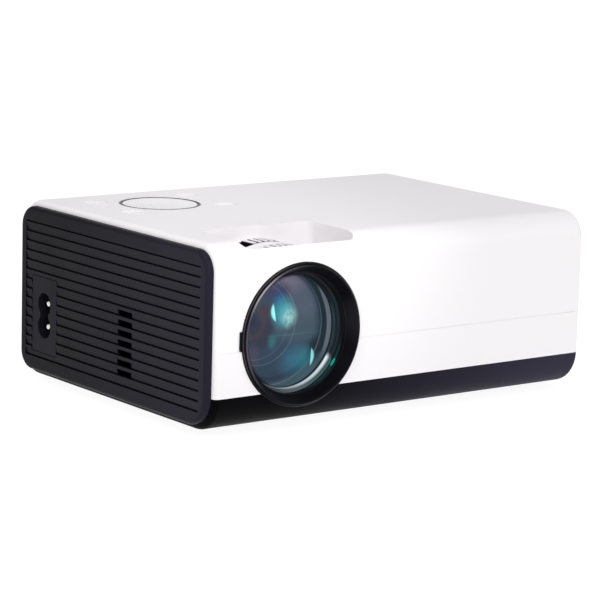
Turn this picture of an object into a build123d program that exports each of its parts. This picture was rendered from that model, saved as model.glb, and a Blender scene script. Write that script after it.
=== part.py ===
from build123d import *
import math
import os

# Compact home projector, in millimetres.
# +X is to the right seen from the front, -Y is the lens side, +Z is up.
# The origin is on the floor, in the middle of the whole projector.

# Case
WALL = 2.4
LENS_INSET = 35.7
REAR_ROOM = 23.85
TUNNEL_COVER = 4.2
TOP_RADIUS = 9.7
FRONT_LOW_RADIUS = 12.7
REAR_LOW_RADIUS = 8.8
END_FILLET = 2.2
MIN_RADIUS = 0.6
STRIP_H = 12.6
PARTING_H = 28.2
SEAM_WIDTH = 0.2
SEAM_DEPTH = 0.15
FLANGE_WIDTH = 5.0
FLANGE_T = 3.0
LIP_T = 1.2
FOOT_H = 1.5
FIT_GAP = 0.2
RUN_GAP = 0.05
SEAT_GAP = 0.02

# Side covers
SIDE_OUT = 2.7
LEFT_INSET = 2.1
RIGHT_INSET = 4.2
SIDE_ROUND = 1.4
PLUG_DEPTH = 4.0
PLUG_WALL = 1.2
GROOVE_COUNT = 15
GROOVE_PITCH = 3.55
GROOVE_WIDTH = 0.6
GROOVE_DEPTH = 1.0
GROOVE_DROP = 7.3
GROOVE_MARGIN = 6.0
RIB_SLANT = 0.45
VENT_WIDTH = 9.1
VENT_HEIGHT = 2.3
VENT_ROWS = 7
VENT_FIRST_GROOVE = 7
VENT_BACK = -10.1

# Lens position and bezel
BEZEL_FLARE = 4.0
BEZEL_STEP = 0.8
BEZEL_OUT = 1.6
BEZEL_RIM_T = 0.7
BEZEL_COVER = 0.8
BEZEL_DEPTH = 3.75
TAB_H = 6.8
TAB_OUT = 0.9

# Lens group
BARREL_R = 22.0
BARREL_SETBACK = 6.35
BARREL_LENGTH = 34.0
BARREL_WALL = 2.5
BARREL_LIP = 1.4
GLASS_EDGE_T = 3.0
GLASS_FRONT_SAG = 3.2
GLASS_BACK_SAG = 1.2
MIDDLE_LENS_T = 4.5
REAR_LENS_T = 2.6
REAR_LENS_FRONT_SAG = 1.8
REAR_LENS_BACK_SAG = 2.4
FIRST_SPACER = 3.8
SECOND_SPACER = 5.9
STOP_R = 15.5
RETAINER_T = 2.8
RETAINER_GAP = 0.3
SPACER_GAP = 0.25
SPACER_T = 0.8
CARRIER_WALL = 1.15
CARRIER_SETBACK = 4.85
CARRIER_LENGTH = 34.0
PIVOT_SETBACK = 7.85
PIVOT_R = 2.0
POST_T = 3.2
POST_D = 5.4
TILT_ROOM = 1.2

# Adjusting rings, and the tunnel that covers them in the recess
RING_WALL = 1.65
TUNNEL_GAP = 0.5
TUNNEL_WALL = 1.5
TOOTH_OUT = 0.3
RING_CLEAR = 0.6
FLOOR_LEFT = 1.7
RING_TEETH = 76
TOOTH_DEPTH = 0.9
TOOTH_SHARE = 0.6
FOCUS_SETBACK = 11.75
FOCUS_WIDTH = 3.6
FOCUS_TRAVEL = 2.4
TILT_SWING = 0.9
KEYSTONE_SETBACK = 21.75
KEYSTONE_WIDTH = 7.0
KEYSTONE_SECTOR = 19.5
KEYSTONE_SLOT = 26.0
HUB_WALL = 1.0
CLIP_T = 0.8
CLIP_H = 1.4
MOUNT_PLATE_T = 3.0

# Recess above the lens
RECESS_LEFT = 22.7
RECESS_RIGHT = 25.1
RECESS_FRONT = 3.1
RECESS_BACK = 30.7
RECESS_FLOOR = 16.8
RECESS_CORNER = 3.2
RECESS_WALL = 1.5

# Controls
DISC_SHIFT = 0.2
DISC_BACK = 26.3
KEY_BOARD_DROP = 8.0
TRIM_R = 15.05
TRIM_WIDTH = 1.1
TRIM_T = 1.6
DISC_GAP = 0.2
DISC_T = 2.0
DISC_DISH = 0.35
DISC_LEG_R = 10.0
ROCKER_R = 6.0
ROCKER_T = 0.8
ROCKER_GAP = 0.25
RIDGE_R = 0.5
KEY_R = 4.5
KEY_GAP = 0.12
KEY_DISH = 0.45
KEY_X = 20.1
KEY_Y = 12.4
KEY_TRAVEL = 0.35
SWITCH_H = 1.1
BOARD_T = 1.2

# Mains inlet
INLET_INSET = 18.65
INLET_H = 23.7
PLATE_W = 16.5
PLATE_H = 28.0
PLATE_GAP = 0.25
PLATE_RECESS = 0.25
INLET_BODY_DEPTH = 15.5
INLET_BODY_W = 13.0
INLET_BODY_H = 21.5
EIGHT_W = 8.66
EIGHT_H = 16.9
PIN_SPACING = 8.6
PIN_R = 1.18
PIN_SETBACK = 1.4
SOCKET_DEPTH = 11.5

# Light engine
ENGINE_GAP = 3.7
ENGINE_WALL = 2.0
ENGINE_LOW = 7.5
ENGINE_COVER_GAP = 1.5
MIRROR_ROOM = 1.322
LCD_REACH = 33.8
CONDENSER_REACH = 22.0
LED_REACH = 72.0
LCD_W = 62.0
LCD_H = 36.0
LCD_T = 1.6
FRESNEL_GAP = 4.0
MIRROR_W = 50.0
MIRROR_H = 42.0
MIRROR_T = 2.0
CONDENSER_R = 19.0
CONDENSER_SAG = 6.0
CONDENSER_EDGE_T = 4.0
LED_BOARD = 40.0
HEATSINK = 50.0
HEATSINK_BASE = 5.0
SINK_LENGTH = 41.3
SINK_GAP = 1.0
FIN_COUNT = 13
FIN_T = 1.2

# Fans, speaker and boards
EXHAUST_SIZE = 50.0
EXHAUST_T = 15.0
PANEL_FAN_SIZE = 40.0
PANEL_FAN_T = 10.0
FAN_BLADES = 7
SPEAKER_R = 16.0
SPEAKER_DEPTH = 14.0
SPEAKER_SETBACK = 25.45
MAIN_BOARD_W = 58.0
MAIN_BOARD_H = 50.0
MAIN_BOARD_SETBACK = 13.8
MAIN_BOARD_LOW = 6.0
POWER_BOARD_LOW = 8.0
POWER_BOARD_H = 38.0
POWER_BOARD_SETBACK = 6.5
PORT_H = 41.0

# Underside
SCREW_R = 1.5
BOSS_R = 4.2
FOOT_R = 5.5
TRIPOD_R = 2.55
TRIPOD_DEPTH = 7.0
TRIPOD_WALL = 2.5
SCREW_FOOT_R = 6.1
SCREW_FOOT_SETBACK = 18.85
FOOT_INSET_X = 14.5
FOOT_INSET_Y = 26.5
SCREW_FOOT_RISE = 0.9
KNURL_T = 3.0
STUD_R = 2.2
STUD_TOP = 19.0
PAD_PIN_R = 1.4
PAD_PIN_H = 3.5
PAD_T = 1.5

# Worked-out sizes of the lens group, from the barrel outwards
BARREL_BORE_R = BARREL_R - BARREL_WALL
GLASS_R = BARREL_R - BARREL_LIP
BEZEL_THROAT_R = BARREL_R - BEZEL_COVER
BEZEL_R = BEZEL_THROAT_R + BEZEL_FLARE
BEZEL_RIM_R = BEZEL_R - BEZEL_STEP
CARRIER_R = BARREL_R + RUN_GAP + CARRIER_WALL
HUB_BORE_R = CARRIER_R + TILT_ROOM
HUB_R = HUB_BORE_R + HUB_WALL
RING_BODY_R = HUB_R + RUN_GAP + RING_WALL
TUNNEL_R = RING_BODY_R + TUNNEL_GAP + TUNNEL_WALL
RING_TOOTH_R = TUNNEL_R + TOOTH_OUT
LENS_H = RING_TOOTH_R + RING_CLEAR + FLOOR_LEFT

# Worked-out size of the case, from what it holds
MIRROR_REACH = MIRROR_W / 2 * math.cos(math.radians(45))
ENGINE_FRONT = MIRROR_REACH + MIRROR_ROOM + ENGINE_WALL
ENGINE_HALF = LCD_W / 2 + FIT_GAP + ENGINE_WALL
ENGINE_SETBACK = BARREL_SETBACK + BARREL_LENGTH + FOCUS_TRAVEL + ENGINE_GAP + ENGINE_FRONT
CASE_W = LENS_INSET + LED_REACH + SINK_LENGTH + SINK_GAP + EXHAUST_T
CASE_D = ENGINE_SETBACK + ENGINE_HALF + REAR_ROOM
CASE_H = LENS_H + TUNNEL_R + TUNNEL_COVER

# Worked-out places
FRONT_Y = (BEZEL_OUT - CASE_D) / 2
BACK_Y = FRONT_Y + CASE_D
MID_Y = (FRONT_Y + BACK_Y) / 2
BASE_Z = FOOT_H
FLOOR_Z = BASE_Z + WALL
TOP_Z = BASE_Z + CASE_H
CEILING_Z = TOP_Z - WALL
STRIP_Z = BASE_Z + STRIP_H
PARTING_Z = BASE_Z + PARTING_H
END_X = CASE_W / 2
LENS_X = LENS_INSET - END_X
LENS_Z = BASE_Z + LENS_H
BARREL_Y = FRONT_Y + BARREL_SETBACK
CARRIER_Y = FRONT_Y + CARRIER_SETBACK
PIVOT_Y = FRONT_Y + PIVOT_SETBACK
FOCUS_Y = FRONT_Y + FOCUS_SETBACK
KEYSTONE_Y = FRONT_Y + KEYSTONE_SETBACK
MOUNT_Y = KEYSTONE_Y + KEYSTONE_WIDTH + FIT_GAP
DISC_X = LENS_X + DISC_SHIFT
DISC_Y = MID_Y + DISC_BACK
DISC_R = TRIM_R - TRIM_WIDTH - DISC_GAP
ROCK_Y_Z = TOP_Z - DISC_T - ROCKER_GAP / 2
ROCK_X_Z = ROCK_Y_Z - ROCKER_GAP - ROCKER_T
KEY_BOARD_Z = TOP_Z - KEY_BOARD_DROP
ENGINE_Y = FRONT_Y + ENGINE_SETBACK
ENGINE_BOTTOM = BASE_Z + ENGINE_LOW
ENGINE_TOP = KEY_BOARD_Z - ENGINE_COVER_GAP
LCD_X = LENS_X + LCD_REACH
CONDENSER_X = LCD_X + CONDENSER_REACH
LED_X = LENS_X + LED_REACH
FAN_X = END_X - EXHAUST_T
PANEL_FAN_X = LENS_X + RING_BODY_R + 1.6 + PANEL_FAN_SIZE / 2
VENT_Y = MID_Y + VENT_BACK
INLET_Y = BACK_Y - INLET_INSET
INLET_Z = BASE_Z + INLET_H
SPEAKER_Y = FRONT_Y + SPEAKER_SETBACK
BOARD_Y = BACK_Y - MAIN_BOARD_SETBACK
BOARD_X = END_X - WALL - MAIN_BOARD_W - BOSS_R * 2 - 2.6
MAIN_BOARD_Z = BASE_Z + MAIN_BOARD_LOW
POWER_BOARD_Y = BACK_Y - POWER_BOARD_SETBACK - BOARD_T
POWER_BOARD_Z = BASE_Z + POWER_BOARD_LOW
PORT_Z = BASE_Z + PORT_H
SCREW_FOOT_Y = FRONT_Y + SCREW_FOOT_SETBACK
SCREW_FOOT_Z = SCREW_FOOT_RISE + PAD_T + RUN_GAP
BOSS_X = END_X - BOSS_R - 4.3
BOSS_PLACES = [(-BOSS_X, CARRIER_Y + CARRIER_LENGTH + BOSS_R + 0.45),
               (-BOSS_X + 10.0, BACK_Y - BOSS_R - 3.85),
               (BOSS_X - 10.1, ENGINE_Y - HEATSINK / 2 - 7.0),
               (BOSS_X, BACK_Y - BOSS_R - 6.85)]
FOOT_PLACES = [(side * (END_X - FOOT_INSET_X), MID_Y + end * (CASE_D / 2 - FOOT_INSET_Y))
               for side in (-1, 1) for end in (-1, 1)]


# Helpers

def block(x0, x1, y0, y1, z0, z1):
    """A box between two corners."""
    place = Pos((x0 + x1) / 2, (y0 + y1) / 2, (z0 + z1) / 2)
    return place * Box(x1 - x0, y1 - y0, z1 - z0)


def rod_x(radius, x0, x1, y, z):
    return Pos((x0 + x1) / 2, y, z) * Rot(0, 90, 0) * Cylinder(radius, x1 - x0)


def rod_y(radius, y0, y1, x=LENS_X, z=LENS_Z):
    return Pos(x, (y0 + y1) / 2, z) * Rot(90, 0, 0) * Cylinder(radius, y1 - y0)


def rod_z(radius, z0, z1, x, y):
    return Pos(x, y, (z0 + z1) / 2) * Cylinder(radius, z1 - z0)


def tube_y(outer, inner, y0, y1, x=LENS_X, z=LENS_Z):
    return rod_y(outer, y0, y1, x, z) - rod_y(inner, y0 - 1, y1 + 1, x, z)


def tube_z(outer, inner, z0, z1, x, y):
    return rod_z(outer, z0, z1, x, y) - rod_z(inner, z0 - 1, z1 + 1, x, y)


def lens_turned(points):
    """Turn a closed outline of (radius, y) points about the lens axis."""
    outline = make_face(Polyline(*[(r, y) for r, y in points], close=True))
    return Pos(LENS_X, 0, LENS_Z) * revolve(outline, axis=Axis.Y)


def case_section(inset):
    """The case outline seen from the side, drawn in by the inset."""
    width = CASE_D - 2 * inset
    height = CASE_H - 2 * inset
    outline = Rectangle(width, height)
    rows = outline.vertices().group_by(Axis.Y)
    top_r = max(TOP_RADIUS - inset, MIN_RADIUS)
    outline = fillet(rows[-1], top_r)
    for end, radius in ((0, FRONT_LOW_RADIUS), (-1, REAR_LOW_RADIUS)):
        low_row = outline.vertices().group_by(Axis.Y)[0].sort_by(Axis.X)
        outline = fillet([low_row[end]], max(radius - inset, MIN_RADIUS))
    return Plane.YZ * Pos(MID_Y, BASE_Z + CASE_H / 2) * outline


def case_length(inset, x0, x1):
    """The case outline, drawn in by the inset, carried from x0 to x1."""
    return Pos(x0, 0, 0) * extrude(case_section(inset), x1 - x0)


def slab(z0, z1):
    """Everything between two heights."""
    return block(-CASE_W, CASE_W, -CASE_D, CASE_D, z0, z1)


def save(node, solid):
    export_step(solid, f"parts/{node}.step")


# Case

def case_body():
    """The outer skin before it is split: walls, end flanges and filleted ends."""
    body = case_length(0, -END_X, END_X)
    ends = body.faces().sort_by(Axis.X)
    body = fillet(ends[0].edges() + ends[-1].edges(), END_FILLET)
    inside_x = END_X - FLANGE_T
    body -= case_length(WALL, -inside_x, inside_x)
    body -= case_length(FLANGE_WIDTH, -END_X - 1, END_X + 1)
    return body


def seam_cut():
    """A fine groove round the case at the parting line."""
    ring = case_length(0, -END_X - 1, END_X + 1) - case_length(SEAM_DEPTH, -END_X - 2, END_X + 2)
    return ring & slab(PARTING_Z - SEAM_WIDTH / 2, PARTING_Z + SEAM_WIDTH / 2)


def bezel_hole():
    return rod_y(BEZEL_R + FIT_GAP / 2, FRONT_Y - 5, FRONT_Y + RECESS_FRONT + 1)


def recess_plan(grow, z0, z1, front):
    """The recess seen from above, with rounded corners, between two heights."""
    x0 = LENS_X - RECESS_LEFT - grow
    x1 = LENS_X + RECESS_RIGHT + grow
    y0 = front
    y1 = FRONT_Y + RECESS_BACK + grow
    outline = RectangleRounded(x1 - x0, y1 - y0, RECESS_CORNER + grow)
    return Pos((x0 + x1) / 2, (y0 + y1) / 2, z0) * extrude(outline, z1 - z0)


def recess_block():
    """The solid round the recess, with the tunnel over the adjusting rings."""
    floor_z = LENS_Z + RECESS_FLOOR
    solid = recess_plan(RECESS_WALL, floor_z - RECESS_WALL, TOP_Z, FRONT_Y + WALL / 2)
    solid -= rod_y(TUNNEL_R - TUNNEL_WALL, FRONT_Y - 5, BACK_Y)
    return solid & case_length(0, -END_X, END_X)


def recess_void():
    """What a finger reaches into: the recess above the tunnel."""
    floor_z = LENS_Z + RECESS_FLOOR
    solid = recess_plan(0, floor_z, TOP_Z + 5, FRONT_Y + RECESS_FRONT)
    return solid - rod_y(TUNNEL_R, FRONT_Y - 5, BACK_Y)


def ring_slots():
    """The tunnel's two slots: a full one for the focus ring, a short one for keystone."""
    focus = rod_y(RING_TOOTH_R + RING_CLEAR, FOCUS_Y - TILT_SWING, FOCUS_Y + FOCUS_WIDTH + TILT_SWING)
    keystone = block(LENS_X - KEYSTONE_SLOT / 2, LENS_X + KEYSTONE_SLOT / 2,
                     KEYSTONE_Y - FIT_GAP, KEYSTONE_Y + KEYSTONE_WIDTH + FIT_GAP,
                     LENS_Z, LENS_Z + RING_TOOTH_R + 1)
    return focus + keystone


def key_places():
    return [(DISC_X - KEY_X, DISC_Y - KEY_Y), (DISC_X + KEY_X, DISC_Y - KEY_Y),
            (DISC_X - KEY_X, DISC_Y + KEY_Y), (DISC_X + KEY_X, DISC_Y + KEY_Y)]


def board_post_places():
    return [(DISC_X + side * 25.5, DISC_Y + end * 18.0) for side in (-1, 1) for end in (-1, 1)]


def port_window():
    """The opening in the rear wall that the port panel fills."""
    x0 = BOARD_X + 2.0
    x1 = BOARD_X + MAIN_BOARD_W - 2.0
    return block(x0, x1, BACK_Y - WALL - 1, BACK_Y + 1, PORT_Z - 8.0, PORT_Z + 8.0)


def top_shell():
    shell = case_body() & slab(PARTING_Z, TOP_Z + 1)
    shell -= seam_cut()
    shell += recess_block()
    shell -= recess_void()
    shell -= ring_slots()
    shell -= bezel_hole()
    shell -= rod_z(TRIM_R, TOP_Z - TRIM_T, TOP_Z + 1, DISC_X, DISC_Y)
    shell -= rod_z(TRIM_R - TRIM_WIDTH, CEILING_Z - 1, TOP_Z, DISC_X, DISC_Y)
    for x, y in key_places():
        shell -= rod_z(KEY_R + KEY_GAP, CEILING_Z - 1, TOP_Z + 1, x, y)
    for x, y in board_post_places():
        shell += rod_z(2.2, KEY_BOARD_Z + BOARD_T, CEILING_Z, x, y)
    for x, y in BOSS_PLACES:
        shell += tube_z(BOSS_R, SCREW_R - 0.2, PARTING_Z + 1, CEILING_Z, x, y)
    shell -= port_window()
    return shell


def fascia(front):
    """The white strip between the upper shell and the base, at the front or the rear."""
    strip = case_body() & slab(STRIP_Z, PARTING_Z)
    if front:
        strip &= block(-CASE_W, CASE_W, -CASE_D, MID_Y, 0, TOP_Z)
    else:
        strip &= block(-CASE_W, CASE_W, MID_Y, CASE_D, 0, TOP_Z)
    strip -= seam_cut()
    return strip - bezel_hole()


def base_lips():
    """Upright lips on the base that stand behind the two strips and hold them."""
    reach = END_X - 12
    inset = WALL + FIT_GAP / 2
    lips = case_length(inset, -reach, reach) & slab(STRIP_Z - 1, PARTING_Z - 4)
    lips += case_length(WALL - 0.5, -reach, reach) & slab(STRIP_Z - 4, STRIP_Z)
    lips -= case_length(inset + LIP_T, -CASE_W, CASE_W)
    return lips - rod_y(BEZEL_R + 3, FRONT_Y - 5, FRONT_Y + 12)


def floor_ribs():
    """Ribs that carry the light engine, the heatsink and the boards."""
    low = FLOOR_Z - 0.5
    engine = [block(LENS_X - MIRROR_REACH, CONDENSER_X - 2, y - 1, y + 1, low, ENGINE_BOTTOM)
              for y in (ENGINE_Y - ENGINE_FRONT * 0.6, ENGINE_Y + ENGINE_FRONT * 0.6)]
    sink_bottom = LENS_Z - HEATSINK / 2
    half = HEATSINK * 0.4
    sink = [block(x, x + 2, ENGINE_Y - half, ENGINE_Y + half, low, sink_bottom)
            for x in (LED_X + HEATSINK_BASE + 1, FAN_X - SINK_GAP - 10)]
    half = EXHAUST_SIZE * 0.36
    cradle = block(FAN_X + 2, FAN_X + 9, ENGINE_Y - half, ENGINE_Y + half, low, LENS_Z - EXHAUST_SIZE / 2)
    main = slotted_rib(BOARD_X, BOARD_X + MAIN_BOARD_W, BOARD_Y, MAIN_BOARD_Z)
    x0, x1 = power_board_ends()
    power = slotted_rib(x0 + 3, x1 - 3, POWER_BOARD_Y, POWER_BOARD_Z)
    return engine + sink + [cradle, main, power]


def slotted_rib(x0, x1, board_y, board_z):
    """A rib on the floor with a slot along its top that a board stands in."""
    rib = block(x0, x1, board_y - 1.5, board_y + BOARD_T + 1.5, FLOOR_Z - 0.5, board_z + 2)
    slot = block(x0 - 1, x1 + 1, board_y - SEAT_GAP, board_y + BOARD_T + SEAT_GAP, board_z, TOP_Z)
    return (rib - slot) & case_length(WALL / 2, -END_X, END_X)


def floor_vents():
    """Intake slots through the floor, under the boards at the right front."""
    y0 = ENGINE_Y - HEATSINK / 2 - 11.0
    return [block(LED_X - 3 + step * 5.0, LED_X - 0.8 + step * 5.0, y0, y0 + 22.0, 0, FLOOR_Z + 1)
            for step in range(8)]


def base_cover():
    base = case_body() & slab(BASE_Z - 1, STRIP_Z)
    base += base_lips()
    for rib in floor_ribs():
        base += rib
    for x, y in BOSS_PLACES:
        base += rod_z(BOSS_R, FLOOR_Z - 0.5, PARTING_Z + 0.8, x, y)
        base -= rod_z(SCREW_R + 0.2, 0, PARTING_Z + 2, x, y)
        base -= rod_z(SCREW_R * 2, 0, BASE_Z + 3.2, x, y)
    cup_z = SCREW_FOOT_Z + KNURL_T + 0.5
    base += rod_z(SCREW_FOOT_R + 2.2, FLOOR_Z - 0.5, cup_z + WALL, 0, SCREW_FOOT_Y)
    base += rod_z(STUD_R + 1.8, cup_z + 1, BASE_Z + STUD_TOP + 1, 0, SCREW_FOOT_Y)
    base -= rod_z(SCREW_FOOT_R + 0.6, 0, cup_z, 0, SCREW_FOOT_Y)
    base -= rod_z(STUD_R + RUN_GAP, 0, BASE_Z + STUD_TOP + 2, 0, SCREW_FOOT_Y)
    base += rod_z(TRIPOD_R + TRIPOD_WALL + 2, FLOOR_Z - 0.5, BASE_Z + TRIPOD_DEPTH - 1, 0, MID_Y)
    base -= rod_z(TRIPOD_R + TRIPOD_WALL + SEAT_GAP, 0, BASE_Z + TRIPOD_DEPTH + 1, 0, MID_Y)
    for x, y in FOOT_PLACES:
        base -= rod_z(FOOT_R + FIT_GAP, 0, BASE_Z + 0.6, x, y)
    for slot in floor_vents():
        base -= slot
    base -= rod_y(RING_TOOTH_R + RING_CLEAR, FOCUS_Y - TILT_SWING, FOCUS_Y + FOCUS_WIDTH + TILT_SWING)
    return base - bezel_hole()


# Side covers

def groove_z(index):
    """The top edge of a groove, counted from the top."""
    return TOP_Z - GROOVE_DROP - index * GROOVE_PITCH


def rib_cuts(face_x):
    """Slanted ribs with a groove under each, cut into the cover's face at face_x."""
    y0 = FRONT_Y + GROOVE_MARGIN
    y1 = BACK_Y - GROOVE_MARGIN
    side = 1 if face_x > 0 else -1
    cuts = []
    for index in range(GROOVE_COUNT):
        top = groove_z(index)
        corners = [(1.0, top), (-GROOVE_DEPTH, top), (-GROOVE_DEPTH, top - GROOVE_WIDTH)]
        if index < GROOVE_COUNT - 1:
            below = groove_z(index + 1)
            corners += [(0.0, top - GROOVE_WIDTH), (-RIB_SLANT, below), (1.0, below)]
        else:
            corners += [(1.0, top - GROOVE_WIDTH)]
        outline = make_face(Polyline(*[(face_x + side * out, z) for out, z in corners], close=True))
        cuts.append(Pos(0, y1, 0) * extrude(Plane.XZ * outline, y1 - y0))
    return cuts


def vent_slots(face_x, column_y):
    """One column of slots through the cover, each standing on a groove."""
    slots = []
    for row in range(VENT_ROWS):
        low = groove_z(VENT_FIRST_GROOVE + row) - GROOVE_WIDTH
        slots.append(block(face_x - 6, face_x + 6, column_y - VENT_WIDTH / 2, column_y + VENT_WIDTH / 2,
                           low, low + VENT_HEIGHT))
    return slots


def side_cover(side, inset):
    """One end cover: a rounded cap on the flange, with a plug that goes into the case."""
    inner_x = END_X
    outer_x = END_X + SIDE_OUT
    cap = case_length(inset, inner_x, outer_x)
    cap = fillet(cap.faces().sort_by(Axis.X)[-1].edges(), SIDE_ROUND)
    plug_inset = FLANGE_WIDTH + FIT_GAP
    plug = case_length(plug_inset, inner_x - PLUG_DEPTH, inner_x)
    plug -= case_length(plug_inset + PLUG_WALL, inner_x - PLUG_DEPTH - 1, inner_x)
    cover = cap + plug
    if side < 0:
        cover = mirror(cover, about=Plane.YZ)
    return cover


def plate_box(grow, x0, x1):
    """The smooth plate round the mains inlet."""
    return block(x0, x1, INLET_Y - PLATE_W / 2 - grow, INLET_Y + PLATE_W / 2 + grow,
                 INLET_Z - PLATE_H / 2 - grow, INLET_Z + PLATE_H / 2 + grow)


def left_side_cover():
    face_x = -END_X - SIDE_OUT
    cover = side_cover(-1, LEFT_INSET)
    for cut in rib_cuts(face_x):
        cover -= cut
    for slot in vent_slots(face_x, VENT_Y):
        cover -= slot
    return cover - plate_box(PLATE_GAP, face_x - 1, -END_X + PLUG_DEPTH + 1)


def right_side_cover():
    face_x = END_X + SIDE_OUT
    cover = side_cover(1, RIGHT_INSET)
    for cut in rib_cuts(face_x):
        cover -= cut
    columns = [ENGINE_Y + step * 10.5 for step in (-1.5, -0.5, 0.5, 1.5)]
    columns += [SPEAKER_Y - 5.5, SPEAKER_Y + 5.5]
    for column in columns:
        for slot in vent_slots(face_x, column):
            cover -= slot
    return cover


# Mains inlet

def eight_section():
    """Two overlapping circles and a waist: the outline of the inlet's socket."""
    radius = EIGHT_W / 2
    offset = EIGHT_H / 2 - radius
    outline = Pos(0, offset) * Circle(radius) + Pos(0, -offset) * Circle(radius)
    return outline + Rectangle(EIGHT_W * 0.62, offset * 2)


def inlet_face_x():
    return -END_X - SIDE_OUT + PLATE_RECESS


def inlet_body():
    face_x = inlet_face_x()
    body = plate_box(0, face_x, -END_X + 1.5)
    body += block(-END_X, face_x + INLET_BODY_DEPTH, INLET_Y - INLET_BODY_W / 2, INLET_Y + INLET_BODY_W / 2,
                  INLET_Z - INLET_BODY_H / 2, INLET_Z + INLET_BODY_H / 2)
    socket = extrude(Plane.YZ * Pos(INLET_Y, INLET_Z) * eight_section(), SOCKET_DEPTH + 1)
    body -= Pos(face_x - 1, 0, 0) * socket
    for z in (-PIN_SPACING / 2, PIN_SPACING / 2):
        body -= rod_x(PIN_R + SEAT_GAP, face_x, 0, INLET_Y, INLET_Z + z)
    return body


def inlet_pins():
    face_x = inlet_face_x()
    pins = []
    for z in (-PIN_SPACING / 2, PIN_SPACING / 2):
        pin = rod_x(PIN_R, face_x + PIN_SETBACK, face_x + INLET_BODY_DEPTH + 3, INLET_Y, INLET_Z + z)
        tip = pin.faces().sort_by(Axis.X)[0].edges()
        pins.append(fillet(tip, PIN_R * 0.6))
    return pins


# Lens bezel and lens group

def lens_bezel():
    back = FRONT_Y + BEZEL_DEPTH
    front = FRONT_Y - BEZEL_OUT
    step = FRONT_Y - BEZEL_OUT * 0.45
    bezel = lens_turned([(BEZEL_R, back), (BEZEL_R, step + 0.4), (BEZEL_R - 0.35, step),
                         (BEZEL_RIM_R, step), (BEZEL_RIM_R, front + 0.3), (BEZEL_RIM_R - 0.25, front),
                         (BEZEL_RIM_R - BEZEL_RIM_T, front), (BEZEL_RIM_R - BEZEL_RIM_T - 0.2, front + 0.25),
                         (BEZEL_THROAT_R + 0.5, back - 1.0), (BEZEL_THROAT_R, back - 0.9),
                         (BEZEL_THROAT_R, back)])
    tab = block(LENS_X - BEZEL_R - TAB_OUT, LENS_X - BEZEL_R + 0.8, step + 0.1, FRONT_Y,
                LENS_Z - TAB_H / 2, LENS_Z + TAB_H / 2)
    tab = fillet(tab.edges().filter_by(Axis.Y).sort_by(Axis.X)[0:2], 0.5)
    return bezel + (tab - rod_y(BEZEL_R - 0.4, FRONT_Y - 5, FRONT_Y + 5))


def cap_ball(radius, sag, edge_y, side):
    """The ball whose cap rises by the sag over a disc of this radius; side -1 is the front."""
    ball_r = (radius ** 2 + sag ** 2) / (2 * sag)
    return Pos(LENS_X, edge_y + side * (sag - ball_r), LENS_Z) * Sphere(ball_r)


def convex_lens(radius, edge_front, edge_t, front_sag, back_sag):
    """A round lens with a flat edge and a domed face on each side."""
    edge_back = edge_front + edge_t
    lens = rod_y(radius, edge_front - front_sag - 1, edge_back + back_sag + 1)
    return lens & cap_ball(radius, front_sag, edge_front, -1) & cap_ball(radius, back_sag, edge_back, 1)


def glass_edge_y():
    return BARREL_Y + RETAINER_T + RETAINER_GAP


def front_lens():
    return convex_lens(GLASS_R, glass_edge_y(), GLASS_EDGE_T, GLASS_FRONT_SAG, GLASS_BACK_SAG)


def barrel_seat_y():
    """Where the front lens rests inside the barrel."""
    return glass_edge_y() + GLASS_EDGE_T + SPACER_GAP


def middle_lens_y():
    return barrel_seat_y() + FIRST_SPACER


def rear_lens_y():
    return middle_lens_y() + MIDDLE_LENS_T + SECOND_SPACER


def lens_barrel():
    seat = barrel_seat_y()
    barrel = tube_y(BARREL_R, BARREL_BORE_R, BARREL_Y, BARREL_Y + BARREL_LENGTH)
    barrel -= rod_y(GLASS_R + SEAT_GAP, BARREL_Y - 1, seat)
    return barrel


def retaining_ring():
    return tube_y(GLASS_R, GLASS_R - 0.9, BARREL_Y, BARREL_Y + RETAINER_T)


def middle_lens():
    """A lens that is hollow on both faces."""
    front = middle_lens_y()
    back = front + MIDDLE_LENS_T
    lens = rod_y(BARREL_BORE_R - SEAT_GAP, front, back)
    hollow_r = BARREL_BORE_R - 2.0
    return lens - cap_ball(hollow_r, 1.4, front, 1) - cap_ball(hollow_r, 1.0, back, -1)


def rear_lens():
    return convex_lens(BARREL_BORE_R - SEAT_GAP, rear_lens_y(), REAR_LENS_T,
                       REAR_LENS_FRONT_SAG, REAR_LENS_BACK_SAG)


def lens_spacers():
    """Thin tubes that keep the lenses apart in the barrel, one with the aperture stop."""
    outer = BARREL_BORE_R - SEAT_GAP
    inner = outer - SPACER_T
    middle_back = middle_lens_y() + MIDDLE_LENS_T
    rear_back = rear_lens_y() + REAR_LENS_T
    first = tube_y(outer, inner, barrel_seat_y(), middle_lens_y())
    second = tube_y(outer, inner, middle_back, rear_lens_y() - SPACER_GAP)
    stop_back = rear_lens_y() - REAR_LENS_FRONT_SAG
    second += tube_y(outer, STOP_R, stop_back - 1.0, stop_back)
    third = tube_y(outer, inner, rear_back + SPACER_GAP, BARREL_Y + BARREL_LENGTH)
    return [first, second, third]


def lens_carrier():
    """The tube that the barrel slides in: it tilts on two pivots."""
    bore = BARREL_R + RUN_GAP
    carrier = tube_y(CARRIER_R, bore, CARRIER_Y, CARRIER_Y + CARRIER_LENGTH)
    collar_y = FOCUS_Y + FOCUS_WIDTH + RUN_GAP
    carrier += tube_y(CARRIER_R + 1.4, bore, collar_y, collar_y + 1.2)
    reach = CARRIER_R + FIT_GAP + POST_T
    for side in (-1, 1):
        x0 = LENS_X + side * (bore + 0.3)
        x1 = LENS_X + side * reach
        carrier += rod_x(PIVOT_R, min(x0, x1), max(x0, x1), PIVOT_Y, LENS_Z)
    return carrier


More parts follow.
